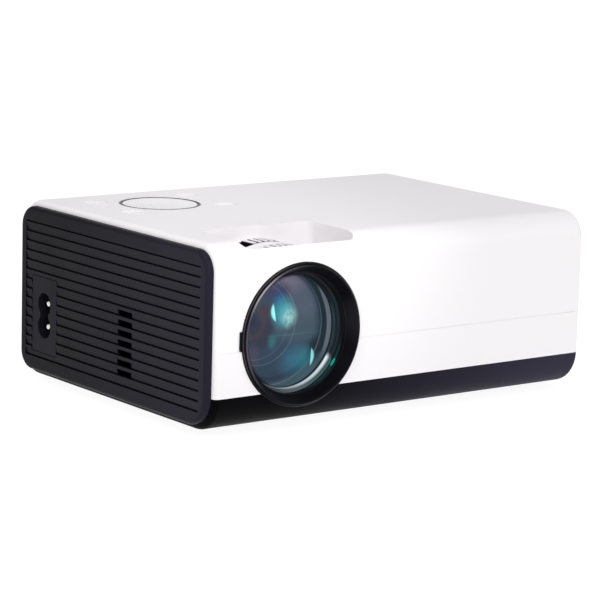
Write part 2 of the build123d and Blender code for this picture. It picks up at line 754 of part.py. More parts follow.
def pivot_posts():
    """Two uprights on the base that hold the carrier's pivots."""
    posts = []
    for side in (-1, 1):
        x0 = LENS_X + side * (CARRIER_R + 0.4)
        x1 = LENS_X + side * (CARRIER_R + 0.4 + POST_T)
        post = block(min(x0, x1), max(x0, x1), PIVOT_Y - POST_D / 2, PIVOT_Y + POST_D / 2 - 0.3,
                     FLOOR_Z, LENS_Z + PIVOT_R + 2.2)
        post &= case_length(WALL, -END_X, END_X)
        posts.append(post - rod_x(PIVOT_R + RUN_GAP, min(x0, x1) - 1, max(x0, x1) + 1, PIVOT_Y, LENS_Z))
    return posts


def ring_section(bore, sector):
    """A ring seen from the front: plain at the body radius, toothed over the sector."""
    root_r = RING_TOOTH_R - TOOTH_DEPTH
    pitch = 360.0 / RING_TEETH
    tooth_w = 2 * math.pi * root_r / RING_TEETH * TOOTH_SHARE
    if sector >= 360:
        outline = Circle(root_r)
        steps = range(RING_TEETH)
    else:
        half = math.radians(sector / 2)
        reach_x = 2 * root_r * math.sin(half)
        reach_z = 2 * root_r * math.cos(half)
        wedge = make_face(Polyline((0, 0), (-reach_x, reach_z), (reach_x, reach_z), close=True))
        outline = Circle(RING_BODY_R) + (Circle(root_r) & wedge)
        count = int(sector / pitch / 2)
        steps = range(-count, count + 1)
    for step in steps:
        outline += Rot(0, 0, step * pitch) * Pos(0, root_r) * Rectangle(tooth_w, 2 * TOOTH_DEPTH)
    return outline - Circle(bore)


def adjusting_ring(bore, y0, width, sector):
    section = Plane.XZ * Pos(LENS_X, LENS_Z) * ring_section(bore, sector)
    return Pos(0, y0 + width, 0) * extrude(section, width)


def focus_ring():
    return adjusting_ring(CARRIER_R + RUN_GAP, FOCUS_Y, FOCUS_WIDTH, 360)


def focus_ring_clip():
    return tube_y(CARRIER_R + CLIP_H, CARRIER_R + SEAT_GAP, FOCUS_Y - RUN_GAP - CLIP_T, FOCUS_Y - RUN_GAP)


def keystone_ring():
    return adjusting_ring(HUB_R + RUN_GAP, KEYSTONE_Y, KEYSTONE_WIDTH, KEYSTONE_SECTOR)


def keystone_ring_clip():
    front = KEYSTONE_Y - RUN_GAP
    return tube_y(HUB_R + CLIP_H, HUB_R + SEAT_GAP, front - CLIP_T, front)


def lens_mount():
    """The fixed upright behind the rings: a plate on a foot, with a hub for the keystone ring."""
    back = MOUNT_Y + MOUNT_PLATE_T
    half = RING_BODY_R
    mount = rod_y(RING_BODY_R, MOUNT_Y, back)
    mount += block(LENS_X - half, LENS_X + half, MOUNT_Y, back, FLOOR_Z, LENS_Z)
    mount += block(LENS_X - 20, LENS_X + 20, MOUNT_Y, back + 5, FLOOR_Z, FLOOR_Z + 2)
    hub_front = KEYSTONE_Y - RUN_GAP - CLIP_T - 0.4
    mount += rod_y(HUB_R, hub_front, back)
    return mount - rod_y(HUB_BORE_R, hub_front - 1, back + 1)


# Light engine

def engine_outline(inset):
    """The light engine seen from above: a tunnel with a slanted end behind the fold mirror."""
    left = LENS_X - ENGINE_FRONT - MIRROR_T * 0.75
    front = ENGINE_Y - ENGINE_FRONT
    step_x = LCD_X - FRESNEL_GAP * 2
    corners = [(left, front), (step_x, front), (step_x, ENGINE_Y - ENGINE_HALF),
               (CONDENSER_X, ENGINE_Y - ENGINE_HALF), (CONDENSER_X, ENGINE_Y + ENGINE_HALF),
               (LENS_X + 7.8, ENGINE_Y + ENGINE_HALF), (left, ENGINE_Y + 6.0)]
    outline = make_face(Polyline(*corners, close=True))
    if inset:
        outline = offset(outline, amount=-inset, kind=Kind.INTERSECTION)
    return outline


def engine_housing():
    height = ENGINE_TOP - ENGINE_WALL - ENGINE_BOTTOM
    housing = Pos(0, 0, ENGINE_BOTTOM) * extrude(engine_outline(0), height)
    housing -= Pos(0, 0, ENGINE_BOTTOM + ENGINE_WALL) * extrude(engine_outline(ENGINE_WALL), height)
    housing -= rod_y(BARREL_BORE_R, ENGINE_Y - ENGINE_FRONT - 1, ENGINE_Y - MIRROR_REACH)
    housing -= rod_x(CONDENSER_R + SEAT_GAP, CONDENSER_X - 5, CONDENSER_X + 1, ENGINE_Y, LENS_Z)
    air_gap = block(LCD_X - FRESNEL_GAP + 0.5, CONDENSER_X - 6, ENGINE_Y - LCD_W, ENGINE_Y + LCD_W,
                    LENS_Z - 12, LENS_Z + 12)
    return housing - air_gap


def engine_lid():
    return Pos(0, 0, ENGINE_TOP - ENGINE_WALL) * extrude(engine_outline(0), ENGINE_WALL)


def fold_mirror():
    """A flat mirror at 45 degrees that turns the light from -X to -Y."""
    floor_z = ENGINE_BOTTOM + ENGINE_WALL
    plate = Pos(0, MIRROR_T / 2, floor_z + MIRROR_H / 2) * Box(MIRROR_W, MIRROR_T, MIRROR_H)
    return Pos(LENS_X, ENGINE_Y, 0) * Rot(0, 0, 45) * plate


def standing_sheet(x, thickness, height):
    """An upright sheet across the light path, standing on the housing's floor."""
    floor_z = ENGINE_BOTTOM + ENGINE_WALL
    return block(x, x + thickness, ENGINE_Y - LCD_W / 2, ENGINE_Y + LCD_W / 2, floor_z, floor_z + height)


def lcd_panel():
    return standing_sheet(LCD_X, LCD_T, LCD_H)


def field_fresnel():
    return standing_sheet(LCD_X - FRESNEL_GAP, LCD_T, LCD_H)


def collimator_fresnel():
    return standing_sheet(LCD_X + FRESNEL_GAP + 5, LCD_T, LCD_H)


def condenser_lens():
    """A lens with one flat face, held in the housing's end wall."""
    flat_x = CONDENSER_X - CONDENSER_EDGE_T
    edge_x = CONDENSER_X - 0.5
    ball_r = (CONDENSER_R ** 2 + CONDENSER_SAG ** 2) / (2 * CONDENSER_SAG)
    ball = Pos(CONDENSER_X + CONDENSER_SAG - ball_r, ENGINE_Y, LENS_Z) * Sphere(ball_r)
    side = CONDENSER_R + 5
    dome = ball & block(edge_x, CONDENSER_X + 20, ENGINE_Y - side, ENGINE_Y + side,
                        LENS_Z - side, LENS_Z + side)
    dome &= rod_x(CONDENSER_R, edge_x - 1, CONDENSER_X + 20, ENGINE_Y, LENS_Z)
    return rod_x(CONDENSER_R, flat_x, edge_x, ENGINE_Y, LENS_Z) + dome


def led_module():
    """A board with a raised square light source, on the heatsink's face."""
    half = LED_BOARD / 2
    board = block(LED_X - 1.6, LED_X, ENGINE_Y - half, ENGINE_Y + half, LENS_Z - half, LENS_Z + half)
    source = block(LED_X - 3.0, LED_X - 1.6, ENGINE_Y - 8, ENGINE_Y + 8, LENS_Z - 8, LENS_Z + 8)
    return board + source


def heatsink():
    half = HEATSINK / 2
    end = FAN_X - SINK_GAP
    sink = block(LED_X, LED_X + HEATSINK_BASE, ENGINE_Y - half, ENGINE_Y + half,
                 LENS_Z - half, LENS_Z + half)
    pitch = (HEATSINK - FIN_T) / (FIN_COUNT - 1)
    for index in range(FIN_COUNT):
        y = ENGINE_Y - half + index * pitch
        sink += block(LED_X, end, y, y + FIN_T, LENS_Z - half, LENS_Z + half)
    return sink


# Fans: made about the Z axis, then laid over

def fan_frame(size, depth):
    """A square frame with a round duct and a hub on three struts."""
    duct_r = size / 2 - 1.2
    hub_r = size * 0.25
    frame = Pos(0, 0, depth / 2) * extrude(RectangleRounded(size, size, 2.5), depth / 2, both=True)
    frame -= rod_z(duct_r, -1, depth + 1, 0, 0)
    struts = rod_z(hub_r, 0, 1.6, 0, 0)
    for angle in (90, 210, 330):
        struts += Rot(0, 0, angle) * block(0, duct_r + 0.6, -1.2, 1.2, 0, 1.6)
    frame += struts
    frame += rod_z(1.5 + RUN_GAP + 1.2, 0, depth * 0.45, 0, 0)
    frame -= rod_z(1.5 + RUN_GAP, 0.8, depth, 0, 0)
    corner = size / 2 - 3.6
    for x in (-corner, corner):
        for y in (-corner, corner):
            frame -= rod_z(1.6, -1, depth + 1, x, y)
    return frame


def fan_rotor(size, depth):
    """A hub cup with its shaft and pitched blades."""
    duct_r = size / 2 - 1.2
    hub_r = size * 0.25
    low = 2.4
    high = depth - 1.0
    rotor = rod_z(hub_r, low, high, 0, 0) - rod_z(hub_r - 1.2, low - 1, high - 1.2, 0, 0)
    rotor += rod_z(1.5, 1.0, high, 0, 0)
    chord = (high - low) * 1.25
    ring = rod_z(duct_r - 0.9, low, high, 0, 0) - rod_z(hub_r - 0.6, low - 1, high + 1, 0, 0)
    blades = []
    for index in range(FAN_BLADES):
        middle = (hub_r + duct_r) / 2
        blade = Rot(38, 0, 0) * Box(duct_r - hub_r + 4, 1.1, chord)
        blade = Pos(middle, 0, (low + high) / 2) * blade
        blades.append((Rot(0, 0, index * 360 / FAN_BLADES) * blade) & ring)
    for blade in blades:
        rotor += blade
    return rotor


def place_exhaust(piece):
    """The hub side faces the right cover: air goes out to +X."""
    return Pos(END_X, ENGINE_Y, LENS_Z) * Rot(0, -90, 0) * piece


def place_panel_fan(piece):
    """The panel fan blows through the housing's side at the LCD panel."""
    return Pos(PANEL_FAN_X, ENGINE_Y - ENGINE_HALF - PANEL_FAN_T, LENS_Z) * Rot(-90, 0, 0) * piece


# Boards, sockets and speaker

def main_board():
    board = block(BOARD_X, BOARD_X + MAIN_BOARD_W, BOARD_Y, BOARD_Y + BOARD_T,
                  MAIN_BOARD_Z, MAIN_BOARD_Z + MAIN_BOARD_H)
    chip_z = BASE_Z + 20.0
    for x, size in ((BOARD_X + 16, 12.0), (BOARD_X + 36, 8.0), (BOARD_X + 48, 5.0)):
        half = size / 2
        board += block(x - half, x + half, BOARD_Y - 1.4, BOARD_Y, chip_z - half, chip_z + half)
    return board


def rear_socket(x, width, height, cavity_w, cavity_h, tongue_h):
    """A sheet-metal socket that stands on the board and opens to the rear."""
    y0 = BOARD_Y + BOARD_T
    y1 = BACK_Y - 0.6
    socket = block(x - width / 2, x + width / 2, y0, y1, PORT_Z - height / 2, PORT_Z + height / 2)
    socket -= block(x - cavity_w / 2, x + cavity_w / 2, y1 - 9.0, y1 + 1,
                    PORT_Z - cavity_h / 2, PORT_Z + cavity_h / 2)
    if tongue_h:
        socket += block(x - cavity_w / 2 + 1, x + cavity_w / 2 - 1, y1 - 9.5, y1 - 1.0,
                        PORT_Z - tongue_h / 2, PORT_Z + tongue_h / 2)
    return socket


def hdmi_socket():
    return rear_socket(BOARD_X + 14, 15.0, 5.6, 14.0, 4.5, 1.2)


def usb_socket():
    return rear_socket(BOARD_X + 31, 13.4, 6.0, 12.4, 4.9, 1.8)


def audio_socket():
    x = BOARD_X + 43.5
    y1 = BACK_Y - 0.6
    socket = block(x - 3.2, x + 3.2, BOARD_Y + BOARD_T, y1 - 2.5, PORT_Z - 3.2, PORT_Z + 3.2)
    socket += rod_y(3.0, y1 - 3, y1, x, PORT_Z)
    return socket - rod_y(1.78, y1 - 12, y1 + 1, x, PORT_Z)


def ir_window():
    """A dark window for the remote control, in the port panel."""
    x = BOARD_X + 52.0
    return rod_y(2.4, BACK_Y - WALL, BACK_Y - 0.2, x, PORT_Z)


def port_panel():
    """The dark plate round the rear sockets."""
    gap = FIT_GAP / 2
    x0 = BOARD_X + 2.0 + gap
    x1 = BOARD_X + MAIN_BOARD_W - 2.0 - gap
    panel = block(x0, x1, BACK_Y - WALL, BACK_Y - 0.3, PORT_Z - 8.0 + gap, PORT_Z + 8.0 - gap)
    for x, width, height in ((BOARD_X + 14, 15.0, 5.6), (BOARD_X + 31, 13.4, 6.0)):
        panel -= block(x - width / 2 - gap, x + width / 2 + gap, BACK_Y - 5, BACK_Y + 1,
                       PORT_Z - height / 2 - gap, PORT_Z + height / 2 + gap)
    panel -= rod_y(3.0 + gap, BACK_Y - 5, BACK_Y + 1, BOARD_X + 43.5, PORT_Z)
    panel -= rod_y(2.4 + SEAT_GAP, BACK_Y - 5, BACK_Y + 1, BOARD_X + 52.0, PORT_Z)
    return panel


def power_board_ends():
    return LENS_X - 12.0, BOARD_X - 4.0


def power_board():
    x0, x1 = power_board_ends()
    return block(x0, x1, POWER_BOARD_Y, POWER_BOARD_Y + BOARD_T,
                 POWER_BOARD_Z, POWER_BOARD_Z + POWER_BOARD_H)


def power_parts():
    """Transformer, smoothing capacitors and two coils on the power board."""
    x0 = power_board_ends()[0]
    y1 = POWER_BOARD_Y
    z0 = POWER_BOARD_Z
    parts = [block(x0 + 4, x0 + 22, y1 - 10, y1, z0 + 8, z0 + 28)]
    parts.append(rod_y(5.0, y1 - 9, y1, x0 + 31, z0 + 10))
    parts.append(rod_y(4.0, y1 - 9, y1, x0 + 31, z0 + 24))
    parts.append(block(x0 + 38, x0 + 48, y1 - 8, y1, z0 + 6, z0 + 14))
    parts.append(block(x0 + 38, x0 + 46, y1 - 8, y1, z0 + 20, z0 + 30))
    return parts


def led_driver_board():
    board_z = FLOOR_Z + 3.0
    x0 = BOARD_X + 14.0
    y0 = FRONT_Y + 8.5
    board = block(x0, x0 + 36.0, y0, y0 + 19.0, board_z, board_z + BOARD_T)
    for x in (x0 + 3.0, x0 + 33.0):
        for y in (y0 + 5.0, y0 + 16.0):
            board += rod_z(1.8, FLOOR_Z, board_z, x, y)
    board &= case_length(WALL, -END_X, END_X)
    board += rod_z(5.0, board_z, board_z + 7.0, x0 + 10.0, y0 + 9.0)
    board += block(x0 + 19.0, x0 + 29.0, y0 + 5.0, y0 + 13.0, board_z, board_z + 4.0)
    return board


def speaker():
    """A round speaker on the right cover: a basket with its magnet behind."""
    x1 = END_X
    basket = rod_x(SPEAKER_R, x1 - 2.0, x1, SPEAKER_Y, LENS_Z)
    basket += rod_x(SPEAKER_R * 0.8, x1 - 7.0, x1 - 2.0, SPEAKER_Y, LENS_Z)
    basket += rod_x(SPEAKER_R * 0.55, x1 - SPEAKER_DEPTH, x1 - 7.0, SPEAKER_Y, LENS_Z)
    return basket - rod_x(SPEAKER_R - 2.0, x1 - 1.6, x1 + 1, SPEAKER_Y, LENS_Z)


# Controls on the top

def disc_trim_ring():
    ring = tube_z(TRIM_R - SEAT_GAP, TRIM_R - TRIM_WIDTH, TOP_Z - TRIM_T, TOP_Z + 0.1, DISC_X, DISC_Y)
    return fillet(ring.faces().sort_by(Axis.Z)[-1].edges(), 0.2)


def ball_cut(radius, depth, x, y):
    """A ball that dishes the top of a round piece of this radius to this depth."""
    ball_r = (radius ** 2 + depth ** 2) / (2 * depth)
    return Pos(x, y, TOP_Z - depth + ball_r) * Sphere(ball_r)


def control_disc():
    """The round control: presses in the middle and rocks to four sides on four legs."""
    bottom = TOP_Z - DISC_T
    disc = rod_z(DISC_R, bottom, TOP_Z, DISC_X, DISC_Y)
    disc = fillet(disc.faces().sort_by(Axis.Z)[-1].edges(), 0.3)
    disc -= ball_cut(DISC_R * 0.9, DISC_DISH, DISC_X, DISC_Y)
    disc -= rod_y(RIDGE_R + RUN_GAP, DISC_Y - ROCKER_R, DISC_Y + ROCKER_R, DISC_X, ROCK_Y_Z)
    leg_low = switch_top_z() + KEY_TRAVEL + 0.45
    for angle in range(0, 360, 90):
        x = DISC_X + DISC_LEG_R * math.cos(math.radians(angle))
        y = DISC_Y + DISC_LEG_R * math.sin(math.radians(angle))
        disc += rod_z(1.2, leg_low, bottom, x, y)
    return disc


def switch_top_z():
    return KEY_BOARD_Z + BOARD_T + SWITCH_H


def rocker_cross():
    """The gimbal piece: it rocks on the plunger's ridge, and the disc rocks on its own."""
    low = ROCK_X_Z + ROCKER_GAP / 2
    rocker = rod_z(ROCKER_R, low, low + ROCKER_T, DISC_X, DISC_Y)
    rocker -= rod_x(RIDGE_R + RUN_GAP, DISC_X - ROCKER_R - 1, DISC_X + ROCKER_R + 1, DISC_Y, ROCK_X_Z)
    return rocker + rod_y(RIDGE_R, DISC_Y - ROCKER_R + 1, DISC_Y + ROCKER_R - 1, DISC_X, ROCK_Y_Z)


def disc_plunger():
    top = ROCK_X_Z - ROCKER_GAP / 2
    low = switch_top_z() + KEY_TRAVEL + 0.1
    plunger = rod_z(ROCKER_R, top - ROCKER_T, top, DISC_X, DISC_Y)
    plunger += rod_x(RIDGE_R, DISC_X - ROCKER_R + 1, DISC_X + ROCKER_R - 1, DISC_Y, ROCK_X_Z)
    return plunger + rod_z(2.0, low, top - ROCKER_T, DISC_X, DISC_Y)


def key(x, y):
    """A dished round key with a flange that keeps it under the shell."""
    flange_top = CEILING_Z - FIT_GAP
    cap = rod_z(KEY_R, flange_top - 0.8, TOP_Z, x, y)
    cap = fillet(cap.faces().sort_by(Axis.Z)[-1].edges(), 0.15)
    cap -= ball_cut(KEY_R * 0.92, KEY_DISH, x, y)
    cap += rod_z(KEY_R + 0.7, flange_top - 0.8, flange_top, x, y)
    return cap + rod_z(1.2, switch_top_z() + KEY_TRAVEL + 0.1, flange_top - 0.8, x, y)


def key_board():
    half_x = 28.0
    half_y = 20.5
    return block(DISC_X - half_x, DISC_X + half_x, DISC_Y - half_y, DISC_Y + half_y,
                 KEY_BOARD_Z, KEY_BOARD_Z + BOARD_T)


def switch_places():
    places = key_places() + [(DISC_X, DISC_Y)]
    for angle in range(0, 360, 90):
        places.append((DISC_X + DISC_LEG_R * math.cos(math.radians(angle)),
                       DISC_Y + DISC_LEG_R * math.sin(math.radians(angle))))
    return places


def key_switches():
    low = KEY_BOARD_Z + BOARD_T
    return [block(x - 1.6, x + 1.6, y - 1.6, y + 1.6, low, low + SWITCH_H) for x, y in switch_places()]


# Underside

def rubber_feet():
    feet = []
    for x, y in FOOT_PLACES:
        foot = rod_z(FOOT_R, 0, BASE_Z + 0.6, x, y)
        feet.append(fillet(foot.faces().sort_by(Axis.Z)[0].edges(), 0.5))
    return feet


def tripod_insert():
    """A threaded brass insert; the thread is left as its core bore."""
    return tube_z(TRIPOD_R + TRIPOD_WALL, TRIPOD_R, BASE_Z, BASE_Z + TRIPOD_DEPTH, 0, MID_Y)


def screw_foot_pad():
    """The rubber pad of the front foot, with the pin that the foot turns on."""
    top = SCREW_FOOT_RISE + PAD_T
    pad = rod_z(SCREW_FOOT_R - 1, SCREW_FOOT_RISE, top, 0, SCREW_FOOT_Y)
    pad = fillet(pad.faces().sort_by(Axis.Z)[0].edges(), 0.5)
    return pad + rod_z(PAD_PIN_R, top, top + PAD_PIN_H, 0, SCREW_FOOT_Y)


def screw_foot():
    """The turning part of the front foot: a knurled disc on a stud."""
    low = SCREW_FOOT_Z
    disc = Circle(SCREW_FOOT_R - 0.4)
    for index in range(20):
        disc += Rot(0, 0, index * 18) * Pos(SCREW_FOOT_R - 0.5, 0) * Rectangle(1.0, 1.0)
    foot = Pos(0, SCREW_FOOT_Y, low) * extrude(disc, KNURL_T)
    foot += rod_z(STUD_R, low, BASE_Z + STUD_TOP, 0, SCREW_FOOT_Y)
    return foot - rod_z(PAD_PIN_R + RUN_GAP, 0, low + PAD_PIN_H + 0.2, 0, SCREW_FOOT_Y)


def case_screws():
    """Four long screws from the base up into the upper shell's bosses."""
    screws = []
    for x, y in BOSS_PLACES:
        head = rod_z(SCREW_R * 1.9, BASE_Z + 1.2, BASE_Z + 3.2, x, y)
        head -= Pos(x, y, BASE_Z + 1.2) * Box(SCREW_R * 2.6, 0.6, 1.6)
        head -= Pos(x, y, BASE_Z + 1.2) * Box(0.6, SCREW_R * 2.6, 1.6)
        screws.append(head + rod_z(SCREW_R - 0.2 - SEAT_GAP, BASE_Z + 3.2, PARTING_Z + 9, x, y))
    return screws


NODES = {
    "top_shell": top_shell,
    "lower_front_strip": lambda: fascia(True),
    "lower_rear_strip": lambda: fascia(False),
    "base_cover": base_cover,
    "left_side_cover": left_side_cover,
    "right_side_cover": right_side_cover,
    "inlet_body": inlet_body,
    "inlet_pins": inlet_pins,
    "lens_bezel": lens_bezel,
    "front_lens": front_lens,
    "lens_retaining_ring": retaining_ring,
    "middle_lens": middle_lens,
    "rear_lens": rear_lens,
    "lens_spacers": lens_spacers,
    "lens_barrel": lens_barrel,
    "lens_carrier": lens_carrier,
    "pivot_posts": pivot_posts,
    "focus_ring": focus_ring,
    "focus_ring_clip": focus_ring_clip,
    "keystone_ring": keystone_ring,
    "keystone_ring_clip": keystone_ring_clip,
    "lens_mount": lens_mount,
    "engine_housing": engine_housing,
    "engine_lid": engine_lid,
    "fold_mirror": fold_mirror,
    "field_fresnel": field_fresnel,
    "lcd_panel": lcd_panel,
    "collimator_fresnel": collimator_fresnel,
    "condenser_lens": condenser_lens,
    "led_module": led_module,
    "heatsink": heatsink,
    "exhaust_fan_frame": lambda: place_exhaust(fan_frame(EXHAUST_SIZE, EXHAUST_T)),
    "exhaust_fan_rotor": lambda: place_exhaust(fan_rotor(EXHAUST_SIZE, EXHAUST_T)),
    "panel_fan_frame": lambda: place_panel_fan(fan_frame(PANEL_FAN_SIZE, PANEL_FAN_T)),
    "panel_fan_rotor": lambda: place_panel_fan(fan_rotor(PANEL_FAN_SIZE, PANEL_FAN_T)),
    "main_board": main_board,
    "hdmi_socket": hdmi_socket,
    "usb_socket": usb_socket,
    "audio_socket": audio_socket,
    "port_panel": port_panel,
    "ir_window": ir_window,
    "power_board": power_board,
    "power_parts": power_parts,
    "led_driver_board": led_driver_board,
    "speaker": speaker,
    "disc_trim_ring": disc_trim_ring,
    "control_disc": control_disc,
    "rocker_cross": rocker_cross,
    "disc_plunger": disc_plunger,
    "power_key": lambda: key(*key_places()[0]),
    "source_key": lambda: key(*key_places()[1]),
    "menu_key": lambda: key(*key_places()[2]),
    "back_key": lambda: key(*key_places()[3]),
    "key_board": key_board,
    "key_switches": key_switches,
    "rubber_feet": rubber_feet,
    "tripod_insert": tripod_insert,
    "screw_foot": screw_foot,
    "screw_foot_pad": screw_foot_pad,
    "case_screws": case_screws,
}


def main():
    os.makedirs("parts", exist_ok=True)
    for node, make in NODES.items():
        solid = make()
        if isinstance(solid, list):
            solid = Compound(children=solid)
        save(node, solid)


main()
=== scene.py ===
import math

import bmesh
import bpy
import numpy as np
from mathutils import Matrix, Vector


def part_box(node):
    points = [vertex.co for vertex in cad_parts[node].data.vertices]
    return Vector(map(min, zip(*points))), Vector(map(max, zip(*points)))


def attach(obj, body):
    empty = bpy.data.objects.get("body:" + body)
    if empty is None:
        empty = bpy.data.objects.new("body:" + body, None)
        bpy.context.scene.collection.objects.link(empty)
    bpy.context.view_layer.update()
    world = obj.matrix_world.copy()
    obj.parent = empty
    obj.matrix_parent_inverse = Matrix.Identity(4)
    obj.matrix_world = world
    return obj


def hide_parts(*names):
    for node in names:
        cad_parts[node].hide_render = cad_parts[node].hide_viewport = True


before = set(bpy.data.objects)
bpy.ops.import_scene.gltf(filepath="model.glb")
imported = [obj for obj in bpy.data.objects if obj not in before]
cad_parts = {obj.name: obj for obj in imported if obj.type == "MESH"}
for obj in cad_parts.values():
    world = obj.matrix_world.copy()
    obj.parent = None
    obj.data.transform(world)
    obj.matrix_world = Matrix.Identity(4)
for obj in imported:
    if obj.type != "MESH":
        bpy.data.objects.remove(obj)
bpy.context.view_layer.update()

bl_info = {
    "name": "Compact projector",
    "version": (1, 0, 0),
    "blender": (4, 5, 0),
    "location": "View3D > Sidebar > Projector",
    "description": "Dresses the packed projector with smooth pieces and finishes",
    "category": "Add Mesh",
}


# Places read from the frame, in metres

def middle(node):
    """The middle of a node's box."""
    low, high = (Vector(corner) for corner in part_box(node))
    return (low + high) / 2


MM = 0.001
LENS = middle("lens_barrel")
DISC = middle("control_disc")
ENGINE = middle("condenser_lens")
SPEAKER = middle("speaker")
INSERT = middle("tripod_insert")
GLASS_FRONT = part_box("front_lens")[0][1]
GLASS_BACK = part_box("front_lens")[1][1]
GLASS_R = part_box("front_lens")[1][0] - LENS.x
BORE_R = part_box("lens_spacers")[1][0] - LENS.x
BARREL_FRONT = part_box("lens_barrel")[0][1]
REAR_GLASS_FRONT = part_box("rear_lens")[0][1]
FOCUS_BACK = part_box("focus_ring")[1][1]
RINGS_BACK = max(FOCUS_BACK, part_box("keystone_ring")[1][1])
COVER_X = -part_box("left_side_cover")[0][0]
COVER_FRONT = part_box("left_side_cover")[0][1]
COVER_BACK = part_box("left_side_cover")[1][1]

# Sizes of the new pieces, in metres
FRONT_SAG = 3.2 * MM
BACK_SAG = 1.2 * MM
STOP_R = 15.5 * MM
STOP_Y = REAR_GLASS_FRONT - 1.0 * MM
STOP_EDGE = 0.16 * MM
SEAT_Y = GLASS_BACK + 0.5 * MM
SEAT_EDGE = 0.14 * MM

# The front glass's bevel, in parts of its width: how far its inner edge stands in front of the dome's edge,
# and its outer edge behind it
BEVEL_AHEAD = 0.25
BEVEL_BEHIND = 0.6

# Steps of the new meshes: round the lens axis, along the glass's front and back, along the retaining ring's
# cone and lip, and round a bright edge
TURN_STEPS = 160
FRONT_STEPS = 48
BACK_STEPS = 24
CONE_STEPS = 16
LIP_STEPS = 7
HOOP_STEPS = 12

# Camera: its place in metres, its turns in radians, its focal length and the picture's width in pixels, the
# film's width in millimetres, and the nearest and farthest that it sees, in metres
EYE = (-0.5937, -0.7870, 0.2151)
YAW, PITCH, ROLL = 0.645, 0.1848, 0.028
FOCAL_PIXELS = 2704.4
FRAME_PIXELS = 600
SENSOR = 36.0
NEAR, FAR = 0.05, 50

# Scales of moulded plastic's noises: its tone, its gloss and its grain
TONE_SCALE = 14
GLOSS_SCALE = 60
GRAIN_SCALE = 2600

# The part of a noise's range that a gloss follows
NOISE_LOW, NOISE_HIGH = 0.3, 0.7

# How far a gloss or a tone goes below and above the one that is asked for
MOULDED_GLOSS = (-0.05, 0.06)
METAL_GLOSS = (-0.06, 0.12)
METAL_TONE = (-0.15, 0.08)

# A pattern's size along an axis that it ignores
FLAT = 1000.0

# Radii from the lens axis in millimetres: between which the painted shade (black) of the shell's slots ends,
# and up to which the teeth's roots carry painted shade (black) on the near and on the far adjusting ring
SLOT_RADII = (28.7, 28.9)
TOOTH_ROOTS = (28.75, 29.15)


# Mesh helpers

def surface(name, points, materials, close_u=False, close_v=False, smooth=True, bands=None):
    """A mesh from a grid of points: rows run along u, columns along v; bands give each column's material."""
    rows, cols = points.shape[:2]
    index = np.arange(rows * cols).reshape(rows, cols)
    if close_u:
        index = np.vstack([index, index[:1]])
    if close_v:
        index = np.hstack([index, index[:, :1]])
    quads = np.stack([index[:-1, :-1], index[:-1, 1:], index[1:, 1:], index[1:, :-1]], axis=-1)
    mesh = bpy.data.meshes.new(name)
    mesh.from_pydata(points.reshape(-1, 3).tolist(), [], quads.reshape(-1, 4).tolist())
    for material in materials:
        mesh.materials.append(material)
    if bands is not None:
        wide = np.broadcast_to(np.asarray(bands, dtype=np.int32), quads.shape[:2])
        mesh.polygons.foreach_set("material_index", np.ascontiguousarray(wide).ravel())
    build = bmesh.new()
    build.from_mesh(mesh)
    bmesh.ops.remove_doubles(build, verts=build.verts, dist=1e-7)
    if close_u:
        bmesh.ops.recalc_face_normals(build, faces=build.faces)
    build.to_mesh(mesh)
    build.free()
    mesh.polygons.foreach_set("use_smooth", np.full(len(mesh.polygons), smooth))
    mesh.update()
    piece = bpy.data.objects.new(name, mesh)
    bpy.context.scene.collection.objects.link(piece)
    return piece


def turned(name, profile, materials, bands=None, close_v=False):
    """A profile of (radius, y) turned about the lens axis: x = X + r cos a, z = Z + r sin a."""
    profile = np.asarray(profile, float)
    angle = np.linspace(0, 2 * math.pi, TURN_STEPS, endpoint=False)[:, None]
    x = LENS.x + profile[None, :, 0] * np.cos(angle)
    z = LENS.z + profile[None, :, 0] * np.sin(angle)
    y = np.broadcast_to(profile[None, :, 1], x.shape)
    return surface(name, np.stack([x, y, z], axis=-1), materials, True, close_v, bands=bands)


def cap(radius, sag, edge_y, side, steps):
    """Radii and heights of a ball's cap, from its pole to its edge.

    The height is y = edge + side (sag - B + sqrt(B^2 - r^2)), where B is the ball's radius."""
    ball = (radius ** 2 + sag ** 2) / (2 * sag)
    r = np.linspace(0, radius, steps)
    return np.stack([r, edge_y + side * (sag - ball + np.sqrt(ball ** 2 - r ** 2))], axis=-1)


# Material helpers

